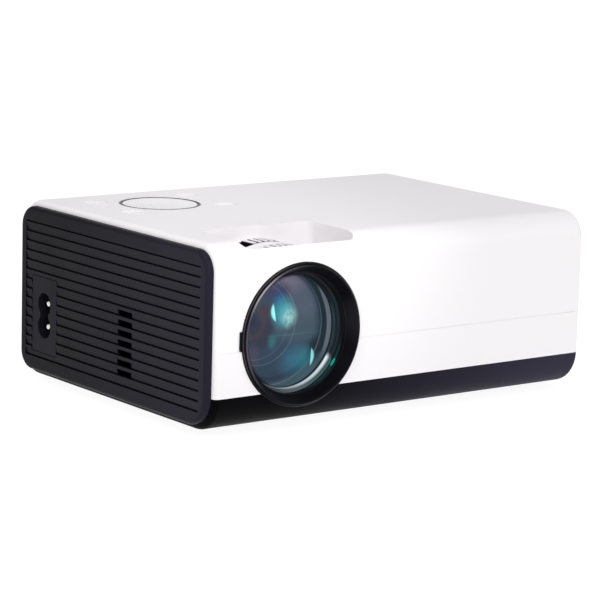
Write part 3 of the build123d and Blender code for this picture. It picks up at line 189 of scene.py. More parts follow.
class Finish:
    """A node material under construction: the shader, and short ways to add nodes before it."""

    SOCKETS = {
        "colour": "Base Color", "rough": "Roughness", "metal": "Metallic",
        "coat": "Coat Weight", "coat_rough": "Coat Roughness",
        "ior": "IOR", "alpha": "Alpha", "specular": "Specular IOR Level",
        "glow": "Emission Strength", "glow_colour": "Emission Color",
    }

    def __init__(self, name, **values):
        self.material = bpy.data.materials.new(name)
        self.material.use_nodes = True
        self.nodes = self.material.node_tree.nodes
        self.links = self.material.node_tree.links
        self.shader = self.nodes["Principled BSDF"]
        self.place = self.nodes.new("ShaderNodeTexCoord").outputs["Object"]
        for key, value in values.items():
            if key == "glow_colour":
                value = (*value, 1.0)
            self.shader.inputs[self.SOCKETS[key]].default_value = value

    def add(self, kind, settings=(), values=(), links=()):
        """One node: its settings by name, its sockets' values and its incoming links."""
        node = self.nodes.new(kind)
        for key, value in settings:
            setattr(node, key, value)
        for key, value in values:
            node.inputs[key].default_value = value
        for key, socket in links:
            self.links.new(socket, node.inputs[key])
        return node

    def maths(self, kind, first, second=0.0):
        """A Math node on two numbers or sockets, with its result kept between 0 and 1."""
        node = self.add("ShaderNodeMath", [("operation", kind), ("use_clamp", True)])
        for index, value in enumerate((first, second)):
            if isinstance(value, (int, float)):
                node.inputs[index].default_value = value
            else:
                self.links.new(value, node.inputs[index])
        return node.outputs[0]

    def times(self, first, second):
        """The product of two numbers or sockets."""
        return self.maths("MULTIPLY", first, second)

    def less(self, first, second):
        """The first number or socket less the second."""
        return self.maths("SUBTRACT", first, second)

    def moved(self, centre=(0, 0, 0), turn=(0, 0, 0), size=(1, 1, 1)):
        """Object coordinates counted from a centre, turned and divided by a size."""
        values = [("Location", centre), ("Rotation", turn), ("Scale", size)]
        node = self.add("ShaderNodeMapping", [("vector_type", "TEXTURE")], values, [("Vector", self.place)])
        return node.outputs["Vector"]

    def across(self, x=0.0, z=0.0, wide=1.0, tall=1.0, turn=0.0):
        """Coordinates across the lens axis, from a point beside it, in these sizes: all in millimetres."""
        centre = (LENS.x + x * MM, 0, LENS.z + z * MM)
        return self.moved(centre, (0, math.radians(turn), 0), (wide * MM, FLAT, tall * MM))

    def length(self, vector):
        """A vector's length."""
        node = self.add("ShaderNodeVectorMath", [("operation", "LENGTH")], [], [(0, vector)])
        return node.outputs["Value"]

    def radius(self, x=0.0, z=0.0, wide=1.0, tall=1.0, turn=0.0):
        """Distance from the lens axis, or from a point beside it, in millimetres or in an oval's radii."""
        return self.length(self.across(x, z, wide, tall, turn))

    def axis(self, vector, name):
        """A vector's part along X, Y or Z."""
        return self.add("ShaderNodeSeparateXYZ", [], [], [(0, vector)]).outputs[name]

    def span(self, value, start, end, low=0.0, high=1.0, soft=False):
        """The value between start and end, carried to between low and high."""
        node = self.add("ShaderNodeMapRange",
                        [("interpolation_type", "SMOOTHSTEP" if soft else "LINEAR")],
                        [("From Min", start), ("From Max", end), ("To Min", low), ("To Max", high)],
                        [("Value", value)])
        return node.outputs["Result"]

    def between(self, value, start, end, soft):
        """1 from start to end: it rises over the soft width after start, and falls over it after end."""
        return self.times(self.span(value, start, start + soft), self.span(value, end, end + soft, 1.0, 0.0))

    def noise(self, scale, detail=3.0, rough=0.5, vector=None):
        """A noise of this scale over Object coordinates, or over the ones that are given."""
        node = self.add("ShaderNodeTexNoise", [],
                        [("Scale", scale), ("Detail", detail), ("Roughness", rough)],
                        [("Vector", vector or self.place)])
        return node.outputs["Fac"]

    def spot(self, x, z, wide, tall, turn=0.0, edge=0.0):
        """A soft oval on the lens, in millimetres: 1 within the edge share of its radii, 0 outside it."""
        return self.span(self.radius(x, z, wide, tall, turn), edge, 1.0, 1.0, 0.0, True)

    def band(self, radius, start, end, soft):
        """1 between two radii, falling to 0 over the soft width on each side."""
        rise = self.span(radius, start - soft, start, soft=True)
        fall = self.span(radius, end, end + soft, 1.0, 0.0, True)
        return self.times(rise, fall)

    def mix(self, factor, first, second):
        """The first colour where the factor is 0, and the second where it is 1: a tuple or a socket each."""
        node = self.add("ShaderNodeMix", [("data_type", "RGBA")])
        for index, value in ((6, first), (7, second)):
            if isinstance(value, (tuple, list)):
                node.inputs[index].default_value = (*value, 1.0)
            else:
                self.links.new(value, node.inputs[index])
        self.links.new(factor, node.inputs[0])
        return node.outputs[2]

    def layers(self, lowest, *steps):
        """Colours laid over the lowest one in turn, each where its factor says."""
        for factor, colour in steps:
            lowest = self.mix(factor, lowest, colour)
        return lowest

    def spots(self, lowest, table):
        """Soft ovals laid over a colour, from a table of their places, sizes, turns, edges and colours."""
        return self.layers(lowest, *((self.spot(*oval), colour) for *oval, colour in table))

    def into(self, **sockets):
        """Links sockets into the shader's inputs, by their short names."""
        for key, socket in sockets.items():
            self.links.new(socket, self.shader.inputs[self.SOCKETS[key]])
        return self

    def toned(self, noise, first, second):
        """The base colour, between two colours as a noise says."""
        return self.into(colour=self.mix(noise, first, second))

    def gloss(self, noise, low, high):
        """The roughness, between two values as the middle of a noise's range says."""
        return self.into(rough=self.span(noise, NOISE_LOW, NOISE_HIGH, low, high))

    def bump(self, height, depth, strength=1.0):
        """Fine relief that follows a height, this deep in metres."""
        node = self.add("ShaderNodeBump", [], [("Distance", depth), ("Strength", strength)],
                        [("Height", height)])
        self.links.new(node.outputs["Normal"], self.shader.inputs["Normal"])
        return self

    def plastic(self, colour, low, high, grain, grain_scale=GRAIN_SCALE):
        """Moulded plastic's skin: an uneven gloss, and a fine grain of this depth in millimetres."""
        self.into(colour=colour)
        self.gloss(self.noise(GLOSS_SCALE, 4), low, high)
        return self.bump(self.noise(grain_scale, 2), grain * MM, 0.5).material


def shade(colour, amount):
    """A colour made darker or lighter by a share."""
    return tuple(max(0.0, c * (1 + amount)) for c in colour)


def moulded(name, colour, rough, grain=0.02, grain_scale=GRAIN_SCALE, drift=0.03, **values):
    """Moulded plastic whose tone drifts slowly by a share."""
    finish = Finish(name, **values)
    tone = finish.mix(finish.noise(TONE_SCALE, 2), shade(colour, -drift), shade(colour, drift))
    return finish.plastic(tone, *(rough + change for change in MOULDED_GLOSS), grain, grain_scale)


def metal(name, colour, rough, stretch=(1, 1, 1), depth=0.01, scale=900):
    """Bare metal with fine lines: the lines are long along the axis with the largest stretch."""
    finish = Finish(name, metal=1.0)
    lines = finish.noise(scale, 4, 0.6, finish.moved(size=stretch))
    finish.toned(lines, *(shade(colour, change) for change in METAL_TONE))
    finish.gloss(lines, *(rough + change for change in METAL_GLOSS))
    return finish.bump(lines, depth * MM, 0.4).material


def paint(material, *nodes):
    """Gives CAD nodes a material, in their own slots."""
    for node in nodes:
        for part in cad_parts[node].material_slots:
            part.link = "OBJECT"
            part.material = material


# Sizes and colours that a user would change

class ProjectorLook(bpy.types.PropertyGroup):
    case_colour: bpy.props.FloatVectorProperty(
        name="Case colour", description="Colour of the white shell", subtype="COLOR",
        default=(0.862, 0.843, 0.857), min=0, max=1)
    black_colour: bpy.props.FloatVectorProperty(
        name="Black colour", description="Colour of the base and side covers", subtype="COLOR",
        default=(0.0075, 0.007, 0.0115), min=0, max=1)
    # Colour of the painted haze that glows at the top of the front lens
    painted_haze_colour: bpy.props.FloatVectorProperty(
        name="Coating colour", description="Tint of the front lens's coating", subtype="COLOR",
        default=(0.105, 0.095, 0.138), min=0, max=1)
    # Colour of the painted bright reflections that glow in the lens
    glow_colour: bpy.props.FloatVectorProperty(
        name="Reflection colour", description="Colour of the bright reflections in the lens",
        subtype="COLOR", default=(0.28, 0.78, 0.8), min=0, max=1)
    bevel: bpy.props.FloatProperty(
        name="Lens bevel", description="Width of the ground edge round the front lens",
        subtype="DISTANCE", default=0.0007, min=0.0001, max=0.002)


def look():
    """The sizes and colours that the panel shows."""
    return bpy.context.scene.projector_look


class PROJECTOR_OT_stage(bpy.types.Operator):
    """Floor, soft lights and the camera"""
    bl_idname = "projector.stage"
    bl_label = "Stage"

    # The sky, half the floor's width, and the point that the square lamps face, in metres
    SKY = (1, 0.985, 1)
    SKY_STRENGTH = 0.62
    FLOOR_REACH = 6.0
    AIM = Vector((0, 0, 0.03))

    # Square lamps: name, place and size in metres, and power in watts
    LAMPS = (("key_soft", (0.62, -1.2, 0.75), 0.9, 3.4),
             ("top_soft", (-0.1, -0.35, 1.2), 1.0, 3.35),
             ("left_soft", (-1.2, -0.5, 0.8), 0.5, 3.0))

    # The narrow lamp that lights the recess above the lens: places and size in metres, power in watts
    NARROW_PLACE = Vector((-0.30, -0.75, 0.40))
    NARROW_AIM = Vector((LENS.x + 3 * MM, BARREL_FRONT + 22 * MM, LENS.z + 33 * MM))
    NARROW_POWER = 36.0
    NARROW_SIZE = 0.06
    NARROW_DEGREES = 4.6
    NARROW_BLEND = 0.6

    def execute(self, context):
        scene = context.scene
        scene.view_settings.view_transform = "Standard"
        self.sky(scene)
        self.floor()
        for name, place, size, power in self.LAMPS:
            light = bpy.data.lights.new(name, "AREA")
            light.shape = "SQUARE"
            light.size = size
            self.lamp(scene, light, power, Vector(place), self.AIM)
        narrow = bpy.data.lights.new("recess_soft", "SPOT")
        narrow.shadow_soft_size = self.NARROW_SIZE
        narrow.spot_size = math.radians(self.NARROW_DEGREES)
        narrow.spot_blend = self.NARROW_BLEND
        self.lamp(scene, narrow, self.NARROW_POWER, self.NARROW_PLACE, self.NARROW_AIM)
        self.camera(scene)
        return {"FINISHED"}

    def sky(self, scene):
        """The same light from all sides."""
        world = bpy.data.worlds.new("studio")
        scene.world = world
        world.use_nodes = True
        background = world.node_tree.nodes["Background"]
        background.inputs["Color"].default_value = (*self.SKY, 1)
        background.inputs["Strength"].default_value = self.SKY_STRENGTH

    def floor(self):
        """A flat square: its four corners are all pairs of -reach and reach, at z = 0."""
        floor = Finish("pale_floor", rough=0.6, specular=0.1, glow=0.93, glow_colour=(1, 1, 1))
        floor.toned(floor.noise(3, 2), (0.145, 0.145, 0.145), (0.16, 0.16, 0.16))
        reach = self.FLOOR_REACH
        grid = np.array([[[x, y, 0.0] for y in (-reach, reach)] for x in (reach, -reach)])
        surface("floor", grid, [floor.material], smooth=False)

    def lamp(self, scene, light, power, place, aim):
        """Puts a light of this power at a place, and turns it to what it is aimed at."""
        light.energy = power
        lamp = bpy.data.objects.new(light.name, light)
        scene.collection.objects.link(lamp)
        lamp.location = place
        lamp.rotation_euler = (aim - place).to_track_quat("-Z", "Y").to_euler()

    def camera(self, scene):
        """Stands where the photographer stood, turned by yaw, then pitch, then roll."""
        ahead = Vector((math.sin(YAW) * math.cos(PITCH), math.cos(YAW) * math.cos(PITCH), -math.sin(PITCH)))
        right = Vector((math.cos(YAW), -math.sin(YAW), 0))
        up = right.cross(ahead)
        right_rolled = math.cos(ROLL) * right + math.sin(ROLL) * up
        up_rolled = -math.sin(ROLL) * right + math.cos(ROLL) * up
        turn = Matrix((right_rolled, up_rolled, -ahead)).transposed()
        data = bpy.data.cameras.new("camera")
        data.sensor_width = SENSOR
        data.lens = FOCAL_PIXELS / FRAME_PIXELS * SENSOR
        data.clip_start = NEAR
        data.clip_end = FAR
        eye = bpy.data.objects.new("camera", data)
        scene.collection.objects.link(eye)
        eye.matrix_world = Matrix.Translation(EYE) @ turn.to_4x4()
        scene.camera = eye


class PROJECTOR_OT_case(bpy.types.Operator):
    """White shell, black base and ribbed side covers"""
    bl_idname = "projector.case"
    bl_label = "Case"

    # Painted shade: near black on the white shell inside the rings' slots
    SLOT_SHADE = (0.008, 0.008, 0.009)
    GROOVE_SHADE = (0.002, 0.002, 0.0024)

    # The slots' painted shade (black), in metres: its start behind the barrel's front, its end behind the
    # rings, its edge
    SLOT_START = 3 * MM
    SLOT_END = 2 * MM
    SLOT_SOFT = 0.1 * MM

    # The side covers, in metres: how far in front of the back edge painted light starts to pale them,
    # how far behind the front edge they are palest, how far from these edges the ribs start and end, with
    # their soft edge, and between which depths the painted shade (black) of the grooves fades out
    PALE_START = 30 * MM
    PALE_END = 6 * MM
    RIBS_START = 5.2 * MM
    RIBS_END = 5.6 * MM
    RIBS_SOFT = 0.4 * MM
    GROOVE_DEPTHS = (0.75 * MM, 0.6 * MM)

    # Between which places along X painted light makes the base paler, in metres
    BASE_DARK_X = -45 * MM
    BASE_PALE_X = 75 * MM

    def execute(self, context):
        black = tuple(look().black_colour)
        white = tuple(look().case_colour)
        paint(self.shell(white), "top_shell")
        paint(moulded("white_strip", white, 0.36, 0.012), "lower_front_strip", "lower_rear_strip")
        paint(self.cover(black), "left_side_cover", "right_side_cover")
        paint(self.base(black), "base_cover")
        return {"FINISHED"}

    def shell(self, white):
        """White plastic, with painted shade (black) inside the slots that the adjusting rings stand in."""
        finish = Finish("white_shell")
        plain = finish.mix(finish.noise(TONE_SCALE, 2), shade(white, -0.012), shade(white, 0.018))
        depth = finish.axis(finish.place, "Y")
        front = BARREL_FRONT + self.SLOT_START
        slot = finish.between(depth, front, RINGS_BACK + self.SLOT_END, self.SLOT_SOFT)
        slot = finish.times(slot, finish.span(finish.radius(), *SLOT_RADII, 1.0, 0.0))
        return finish.plastic(finish.mix(slot, plain, self.SLOT_SHADE), 0.31, 0.42, 0.012)

    def cover(self, black):
        """Black plastic, paled towards the front by painted light, with painted shade in its rib grooves."""
        finish = Finish("black_cover", specular=0.05)
        depth = finish.axis(finish.place, "Y")
        # Painted light: the cover grows paler towards its front edge
        along = finish.span(depth, COVER_BACK - self.PALE_START, COVER_FRONT + self.PALE_END)
        plain = finish.mix(along, shade(black, -0.25), shade(black, 1.1))
        out = finish.maths("ABSOLUTE", finish.axis(finish.place, "X"))
        groove = finish.span(out, *(COVER_X - deep for deep in self.GROOVE_DEPTHS), 1.0, 0.0)
        front = COVER_FRONT + self.RIBS_START
        ribbed = finish.between(depth, front, COVER_BACK - self.RIBS_END, self.RIBS_SOFT)
        # Painted shade: the grooves' floors go near black
        colour = finish.mix(finish.times(groove, ribbed), plain, self.GROOVE_SHADE)
        return finish.plastic(colour, 0.3, 0.4, 0.02)

    def base(self, black):
        """Black plastic with painted light that makes it a little paler towards its right end."""
        finish = Finish("black_base", specular=0.03)
        # Painted light: paler towards the right end
        along = finish.span(finish.axis(finish.place, "X"), self.BASE_DARK_X, self.BASE_PALE_X)
        return finish.plastic(finish.mix(along, shade(black, -0.85), shade(black, 3.3)), 0.42, 0.5, 0.03)


class PROJECTOR_OT_inlet(bpy.types.Operator):
    """Mains inlet and its pins"""
    bl_idname = "projector.inlet"
    bl_label = "Mains inlet"

    def execute(self, context):
        black = shade(tuple(look().black_colour), 0.3)
        paint(moulded("inlet_black", black, 0.45, 0.03, 1800, specular=0.06), "inlet_body")
        paint(metal("pin_nickel", (0.82, 0.78, 0.74), 0.22, (12, 1, 1)), "inlet_pins")
        return {"FINISHED"}


class PROJECTOR_OT_bezel(bpy.types.Operator):
    """Lens bezel, with painted reflections: the lens's colour on its throat, pale arcs on rim and step"""
    bl_idname = "projector.bezel"
    bl_label = "Lens bezel"

    # Where the throat ends, and between which radii the rim, its outer edge and the step lie, in millimetres
    THROAT = (21.25, 21.4)
    RIM = (23.85, 24.25)
    RIM_EDGE = (24.05, 24.4)
    STEP = (24.75, 25.0)

    def execute(self, context):
        finish = Finish("bezel_black", specular=0.06, glow=1.0)
        finish.toned(finish.noise(90, 3), (0.0032, 0.0028, 0.0044), (0.0046, 0.004, 0.006))
        # Painted reflections and highlights that glow: the lens's teal on the throat, pale arcs on step and
        # rim
        radius = finish.radius()
        throat = finish.span(radius, *self.THROAT, 1.0, 0.0)
        throat = finish.times(throat, finish.spot(14, -16, 9, 6, -45, 0.3))
        step = finish.times(finish.band(radius, *self.STEP, 0.15), finish.spot(-20, 8, 20, 30, 35, 0.5))
        rim = finish.band(radius, *self.RIM, 0.15)
        left = finish.times(rim, finish.spot(-20, 8, 24, 32, 35, 0.5))
        brightest_highlight = finish.times(rim, finish.spot(-17.5, 16.5, 11, 11, edge=0.1))
        right = finish.times(finish.band(radius, *self.RIM_EDGE, 0.2), finish.spot(17, -10, 15, 26, 30, 0.3))
        finish.into(glow_colour=finish.layers(
            (0, 0, 0),
            (finish.spot(24, 6, 6, 16, edge=0.2), (0.009, 0.0085, 0.011)),
            (throat, (0.002, 0.016, 0.019)),
            (step, (0.05, 0.042, 0.046)),
            (left, (0.075, 0.072, 0.085)),
            (brightest_highlight, (0.38, 0.36, 0.38)),
            (right, (0.04, 0.034, 0.046))))
        finish.gloss(finish.noise(80, 4), 0.28, 0.38)
        finish.bump(finish.noise(3000, 2), 0.01 * MM, 0.4)
        paint(finish.material, "lens_bezel")
        return {"FINISHED"}


class PROJECTOR_OT_lens(bpy.types.Operator):
    """Front lens with its coating, its retaining ring, and the elements and edges behind it"""
    bl_idname = "projector.lens"
    bl_label = "Lens"

    # Places of the front glass's materials in its list
    COATED, GROUND, CLEAR = range(3)

    def execute(self, context):
        glass = self.glass()
        ring = self.retaining_ring()
        stop = self.hoop("stop_edge", STOP_R, STOP_Y, STOP_EDGE)
        seat = self.hoop("seat_edge", BORE_R, SEAT_Y, SEAT_EDGE)
        for piece in (glass, ring, stop, seat):
            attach(piece, "lens_tube")
        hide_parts("front_lens")
        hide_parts("lens_retaining_ring")
        self.barrel()
        self.carrier()
        paint(self.clear("middle_glass"), "middle_lens")
        self.rear_glass()
        return {"FINISHED"}

    def glass(self):
        """The front element: a domed face, a ground bevel, the edge, and a domed back."""
        bevel = look().bevel
        front_edge = GLASS_FRONT + FRONT_SAG
        back_edge = GLASS_BACK - BACK_SAG
        front = cap(GLASS_R, FRONT_SAG, front_edge, -1, FRONT_STEPS)
        front = front[front[:, 0] < GLASS_R - bevel]
        back = cap(GLASS_R, BACK_SAG, back_edge, 1, BACK_STEPS)[::-1]
        rim = np.array([[GLASS_R - bevel, front_edge - bevel * BEVEL_AHEAD],
                        [GLASS_R, front_edge + bevel * BEVEL_BEHIND]])
        profile = np.vstack([front, rim, back])
        bands = np.full(len(profile) - 1, self.CLEAR)
        bands[:len(front)] = self.COATED
        bands[len(front):len(front) + len(rim)] = self.GROUND
        materials = [self.coating(), self.ground(), self.clear("back_face")]
        return turned("front_glass", profile, materials, bands=bands)

    def retaining_ring(self):
        """The ring that holds the front element: a cone that opens forwards, and a flange round its mouth.

        The cone's radius grows with the square of the way to the mouth: r = inner + (outer - inner) way^2.
        The flange's lip is a quarter of an oval."""
        back = GLASS_FRONT + FRONT_SAG - 0.3 * MM
        mouth = BARREL_FRONT - 0.1 * MM
        inner = GLASS_R - 0.6 * MM
        outer = GLASS_R - 0.05 * MM
        seat_r = GLASS_R - 0.02 * MM
        flange_y = BARREL_FRONT - 0.02 * MM
        way = np.linspace(0, 1, CONE_STEPS)
        cone = np.stack([inner + (outer - inner) * way ** 2, back + (mouth - back) * way], axis=-1)
        turn = np.linspace(0, math.pi / 2, LIP_STEPS)
        lip_r = GLASS_R + (0.75 + 0.2 * np.sin(turn)) * MM
        lip_y = mouth - (0.05 + 0.15 * np.cos(turn)) * MM
        lip = np.stack([lip_r, lip_y], axis=-1)
        flange = np.array([[lip_r[-1], flange_y], [seat_r, flange_y], [seat_r, back]])
        profile = np.vstack([cone, lip, flange])
        return turned("retaining_ring", profile, [self.ring_finish()], close_v=True)

    def ring_finish(self):
        """Turned black metal with a painted teal reflection of the coated glass, pale at the lower right."""
        finish = Finish("retaining_black", specular=0.1, glow=1.0)
        turning = finish.noise(500, 4, 0.6, finish.moved((LENS.x, 0, LENS.z), size=(9, 1, 9)))
        finish.toned(turning, (0.008, 0.008, 0.011), (0.018, 0.018, 0.023))
        finish.gloss(turning, 0.24, 0.4).bump(turning, 0.02 * MM, 0.4)
        # Right and height count from the lens axis, depth from the barrel's front, all in millimetres
        place = finish.across()
        right = finish.axis(place, "X")
        height = finish.axis(place, "Z")
        depth = finish.axis(finish.moved((0, BARREL_FRONT, 0), size=(MM, MM, MM)), "Y")
        low = finish.times(finish.span(right, -6, 16, 0.16, 1.0), finish.span(right, 17.0, 18.0, 1.0, 0.0))
        low = finish.times(low, finish.span(height, -8.5, -11))
        bright = finish.times(finish.span(depth, 2.2, 1.5), finish.span(depth, 0.15, 1.1, 0.2, 1.0))
        bright = finish.times(bright, finish.span(turning, NOISE_LOW, NOISE_HIGH, 0.75, 1.0))
        side = finish.times(finish.band(depth, 1.3, 1.9, 0.5), finish.spot(20, -1, 6, 12, edge=0.4))
        mouth = finish.times(low, finish.span(finish.radius(), 21.6, 20.7, 0.3, 1.0))
        flange = finish.mix(finish.span(right, -2, 9), (0.09, 0.092, 0.115), (0.008, 0.05, 0.052))
        # Painted reflections that glow on the ring: teal at the side and mouth, a bright band at the lower
        # right
        glow = finish.layers(
            (0.001, 0.001, 0.002),
            (finish.spot(20, 0, 8, 20, edge=0.35), (0.002, 0.009, 0.012)),
            (side, (0.018, 0.034, 0.044)),
            (finish.times(low, finish.span(depth, 2.5, 2.1)), (0.012, 0.06, 0.068)),
            (finish.times(low, bright), (0.85, 0.95, 1.0)),
            (finish.times(mouth, finish.span(depth, 0.1, 0.02)), flange))
        return finish.into(glow_colour=glow).material

    def hoop(self, name, radius, y, thick):
        """A thin edge with a painted glow: a small circle of radius thick, carried round the lens axis."""
        turn = np.linspace(0, 2 * math.pi, HOOP_STEPS, endpoint=False)
        profile = np.stack([radius - thick * (1 - np.cos(turn)), y - thick * (1 - np.sin(turn))], axis=-1)
        # Painted highlight: the pale edge glows, though it is no lamp
        finish = Finish(name, glow=0.3, glow_colour=(0.5, 0.56, 0.72))
        worn = finish.noise(300, 3)
        finish.toned(worn, (0.16, 0.16, 0.2), (0.26, 0.27, 0.33)).gloss(worn, 0.3, 0.45)
        return turned(name, profile, [finish.material], close_v=True)

    def clear(self, name):
        """Uncoated glass that is almost all see-through."""
        finish = Finish(name, alpha=0.12, ior=1.5, specular=0.15)
        finish.toned(finish.noise(30, 2), (0.1, 0.1, 0.16), (0.13, 0.12, 0.18))
        return finish.gloss(finish.noise(50, 2), 0.02, 0.06).material

    def ground(self):
        """The bevel's ground glass."""
        finish = Finish("ground_bevel", rough=0.35)
        return finish.toned(finish.noise(500, 3), (0.08, 0.09, 0.11), (0.14, 0.15, 0.18)).material

    def crescent(self, finish, x, z, radius, chord, turn, side):
        """A disc of this radius cut by a nearly upright chord: the part left (-1) or right (1) of it."""
        disc = finish.spot(x, z, radius, radius, edge=self.CRESCENT_FULL)
        beyond = finish.axis(finish.across(chord, z, turn=turn), "X")
        start, end = (way * side for way in self.CHORD_EDGE)
        return finish.times(disc, finish.span(beyond, start, end, soft=True))

    # Painted reflections that glow: soft ovals in the coating's tints, and the shines that lie over them:
    # x and z from the lens axis and both radii in millimetres, turn in degrees, the share that is full, and
    # the colour
    PAINTED_TINTS = ((4, 1, 16, 7, 0, 0.4, (0.028, 0.054, 0.072)),
             (-12, 1, 7, 9, 10, 0.4, (0.013, 0.014, 0.024)),
             (-10.8, 7.5, 3.6, 4.6, 25, 0.2, (0.03, 0.02, 0.023)),
             (7, 10, 12, 9, 0, 0.2, (0.05, 0.07, 0.098)),
             (-5, 14, 8, 5, 0, 0.3, (0.026, 0.03, 0.06)),
             (12, -7, 7, 5, 0, 0.2, (0.004, 0.011, 0.018)),
             (-1, -17, 12, 4, 0, 0.3, (0.018, 0.026, 0.046)),
             (-15, -9, 4, 8, 10, 0.2, (0.035, 0.034, 0.05)),
             (9, -17.5, 14, 4.5, -38, 0.3, (0.026, 0.066, 0.084)))
    PAINTED_SHINES = ((-4.3, 11.4, 4.2, 4.8, 10, 0.0, (0.012, 0.05, 0.15)),
              (-2.9, 6.9, 6.4, 7.4, 15, 0.1, (0.028, 0.25, 0.3)),
              (2.6, -10.2, 9.0, 8.0, -15, 0.0, (0.014, 0.095, 0.15)),
              (6.8, -10.5, 5.5, 6.5, 0, 0.0, (0.014, 0.115, 0.14)),
              (-7.4, -2.8, 2.5, 4.0, 0, 0.0, (0.014, 0.1, 0.12)),
              (1, -1.1, 16, 0.34, 1, 0.0, (0.03, 0.095, 0.105)))

    # Painted bright crescent reflections: x, z and radius of the disc and x of its chord in millimetres,
    # the chord's turn in degrees, the side that is lit, and the change of brightness as a share
    PAINTED_CRESCENTS = ((-4.0, 7.3, 4.25, -6.4, -5.9, -1, 0.0),
                 (7.7, -10.4, 4.4, 10.1, -3.1, 1, -0.25))

    # A crescent's share that is full, where its chord's soft edge starts and ends in millimetres, how much
    # dimmer its outer line is as a share, and how wide that line is in millimetres
    CRESCENT_FULL = 0.88
    CHORD_EDGE = (-0.15, 0.25)
    CRESCENT_DIM = 0.35
    CRESCENT_LINE = 0.45

    def coating(self):
        """Coated glass whose haze and reflections are painted glow: grey-violet that turns teal."""
        finish = Finish("coated_glass", alpha=0.62, ior=1.5, rough=0.03, glow=2.0, specular=0.15)
        finish.toned(finish.noise(30, 2), (0.018, 0.018, 0.027), (0.022, 0.022, 0.033))
        height = finish.axis(finish.across(), "Z")
        # Painted reflections that glow: a dark teal base, a paler upper half, and a grey-violet haze at the
        # top
        glow = finish.layers(
            (0.011, 0.032, 0.053),
            (finish.span(height, -2.2, -1.0, soft=True), (0.022, 0.042, 0.058)),
            (finish.spot(3.5, 17, 12, 7.5, edge=0.4), tuple(look().painted_haze_colour)))
        glow = finish.spots(glow, self.PAINTED_TINTS)
        # Painted shade and reflection of the barrel's wall, seen through the glass, begin at a circle that
        # lies beside the axis
        wall = finish.radius(-6.45, 2)
        deep = finish.mix(finish.span(height, -8, -15), (0.002, 0.013, 0.017), (0.028, 0.062, 0.08))
        glow = finish.mix(finish.span(wall, 18.5, 21.2, soft=True), glow, deep)
        glow = finish.spots(glow, self.PAINTED_SHINES)
        # Painted reflections over the rest: a speckled teal core, an amber ring, a deep blue patch, pale
        # line and rim
        speckle = finish.span(finish.noise(650, 5, 0.75), 0.42, 0.62)
        core = finish.times(finish.spot(-0.7, 5.4, 4.8, 5.4, 20), finish.span(speckle, 0, 1, 0.4, 1.0))
        brown = finish.times(finish.band(finish.radius(-15.6, 4.7, 5, 6), 0.95, 1.0, 0.22), 0.35)
        line = finish.times(finish.band(wall, 20.65, 20.95, 0.35), finish.span(height, 16, -16, 0.25, 1.0))
        rim = finish.span(finish.radius(-7.1, 0.3), 24.0, 24.8, soft=True)
        glow = finish.layers(
            glow,
            (core, (0.3, 0.55, 0.52)),
            (brown, (0.05, 0.028, 0.012)),
            (finish.spot(-15, 4.6, 3.4, 5), (0.002, 0.006, 0.02)),
            (line, (0.07, 0.085, 0.1)),
            (finish.times(rim, finish.spot(19, 3, 9, 21, edge=0.45)), (0.08, 0.095, 0.115)))
        glow = self.crescents(finish, glow)
        # Painted shade: towards the glass's edge the glow gives way to near black
        edge = finish.span(finish.radius(3, -1), 19.2, 20.6, soft=True)
        return finish.into(glow_colour=finish.mix(edge, glow, (0, 0, 0.001))).material

    def crescents(self, finish, glow):
        """The painted bright crescent reflections, laid over the other painted reflections."""
        bright = tuple(look().glow_colour)
        for x, z, radius, chord, turn, side, dim in self.PAINTED_CRESCENTS:
            outer = self.crescent(finish, x, z, radius, chord, turn, side)
            glow = finish.mix(outer, glow, shade(bright, dim - self.CRESCENT_DIM))
            lit = self.crescent(finish, x, z, radius - self.CRESCENT_LINE, chord, turn, side)
            glow = finish.mix(lit, glow, shade(bright, dim))
        return glow

    def barrel(self):
        """The black of the barrel, its spacers and the adjusting rings' clips."""
        finish = Finish("barrel_black", specular=0.15)
        worn = finish.noise(220, 3)
        finish.toned(worn, (0.012, 0.012, 0.015), (0.022, 0.022, 0.028))
        finish.gloss(finish.noise(70, 3), 0.5, 0.62).bump(worn, 0.02 * MM, 0.3)
        paint(finish.material, "lens_barrel", "lens_spacers", "focus_ring_clip", "keystone_ring_clip")

    def carrier(self):
        """Black plastic; its bore in front of the barrel bears a painted teal reflection of the coated
        glass.
        """
        finish = Finish("carrier_black", specular=0.12, glow=1.0)
        grain = finish.noise(400, 3)
        finish.toned(grain, (0.01, 0.01, 0.012), (0.018, 0.018, 0.022)).gloss(grain, 0.4, 0.55)
        depth = finish.axis(finish.place, "Y")
        front = finish.span(depth, BARREL_FRONT - 0.1 * MM, BARREL_FRONT, 1.0, 0.0)
        centre = (LENS.x + 18.2 * MM, BARREL_FRONT - 0.8 * MM, LENS.z - 12.5 * MM)
        turn = (0, math.radians(-56), 0)
        bore = finish.length(finish.moved(centre, turn, (1.9 * MM, 0.8 * MM, 2.5 * MM)))
        # Painted reflection: teal light from the coated glass, glowing on the bore
        painted_reflection = finish.layers(
            (0.001, 0.002, 0.003),
            (finish.spot(16, -14.5, 15, 9, -41, 0.3), (0.003, 0.026, 0.026)),
            (finish.span(bore, 0.6, 1.0, 1.0, 0.0, True), (0.004, 0.33, 0.3)))
        finish.into(glow_colour=finish.mix(front, (0, 0, 0), painted_reflection))
        paint(finish.material, "lens_carrier")

    def rear_glass(self):
        """Dark violet glass glowing as painted light, blue towards its middle, a pale line near its edge."""
        finish = Finish("rear_glass", ior=1.5, glow=0.3, specular=0.15)
        tint = finish.layers(
            (0.02, 0.016, 0.04),
            (finish.spot(-3, 3, 15, 15), (0.03, 0.07, 0.12)),
            (finish.band(finish.radius(), 13.6, 13.8, 0.2), (0.25, 0.28, 0.36)))
        # Painted light: the tint is also the glow, so the glass shines though it is no lamp
        finish.into(colour=tint, glow_colour=tint)
        finish.gloss(finish.noise(50, 2), 0.05, 0.12)
        paint(finish.material, "rear_lens")


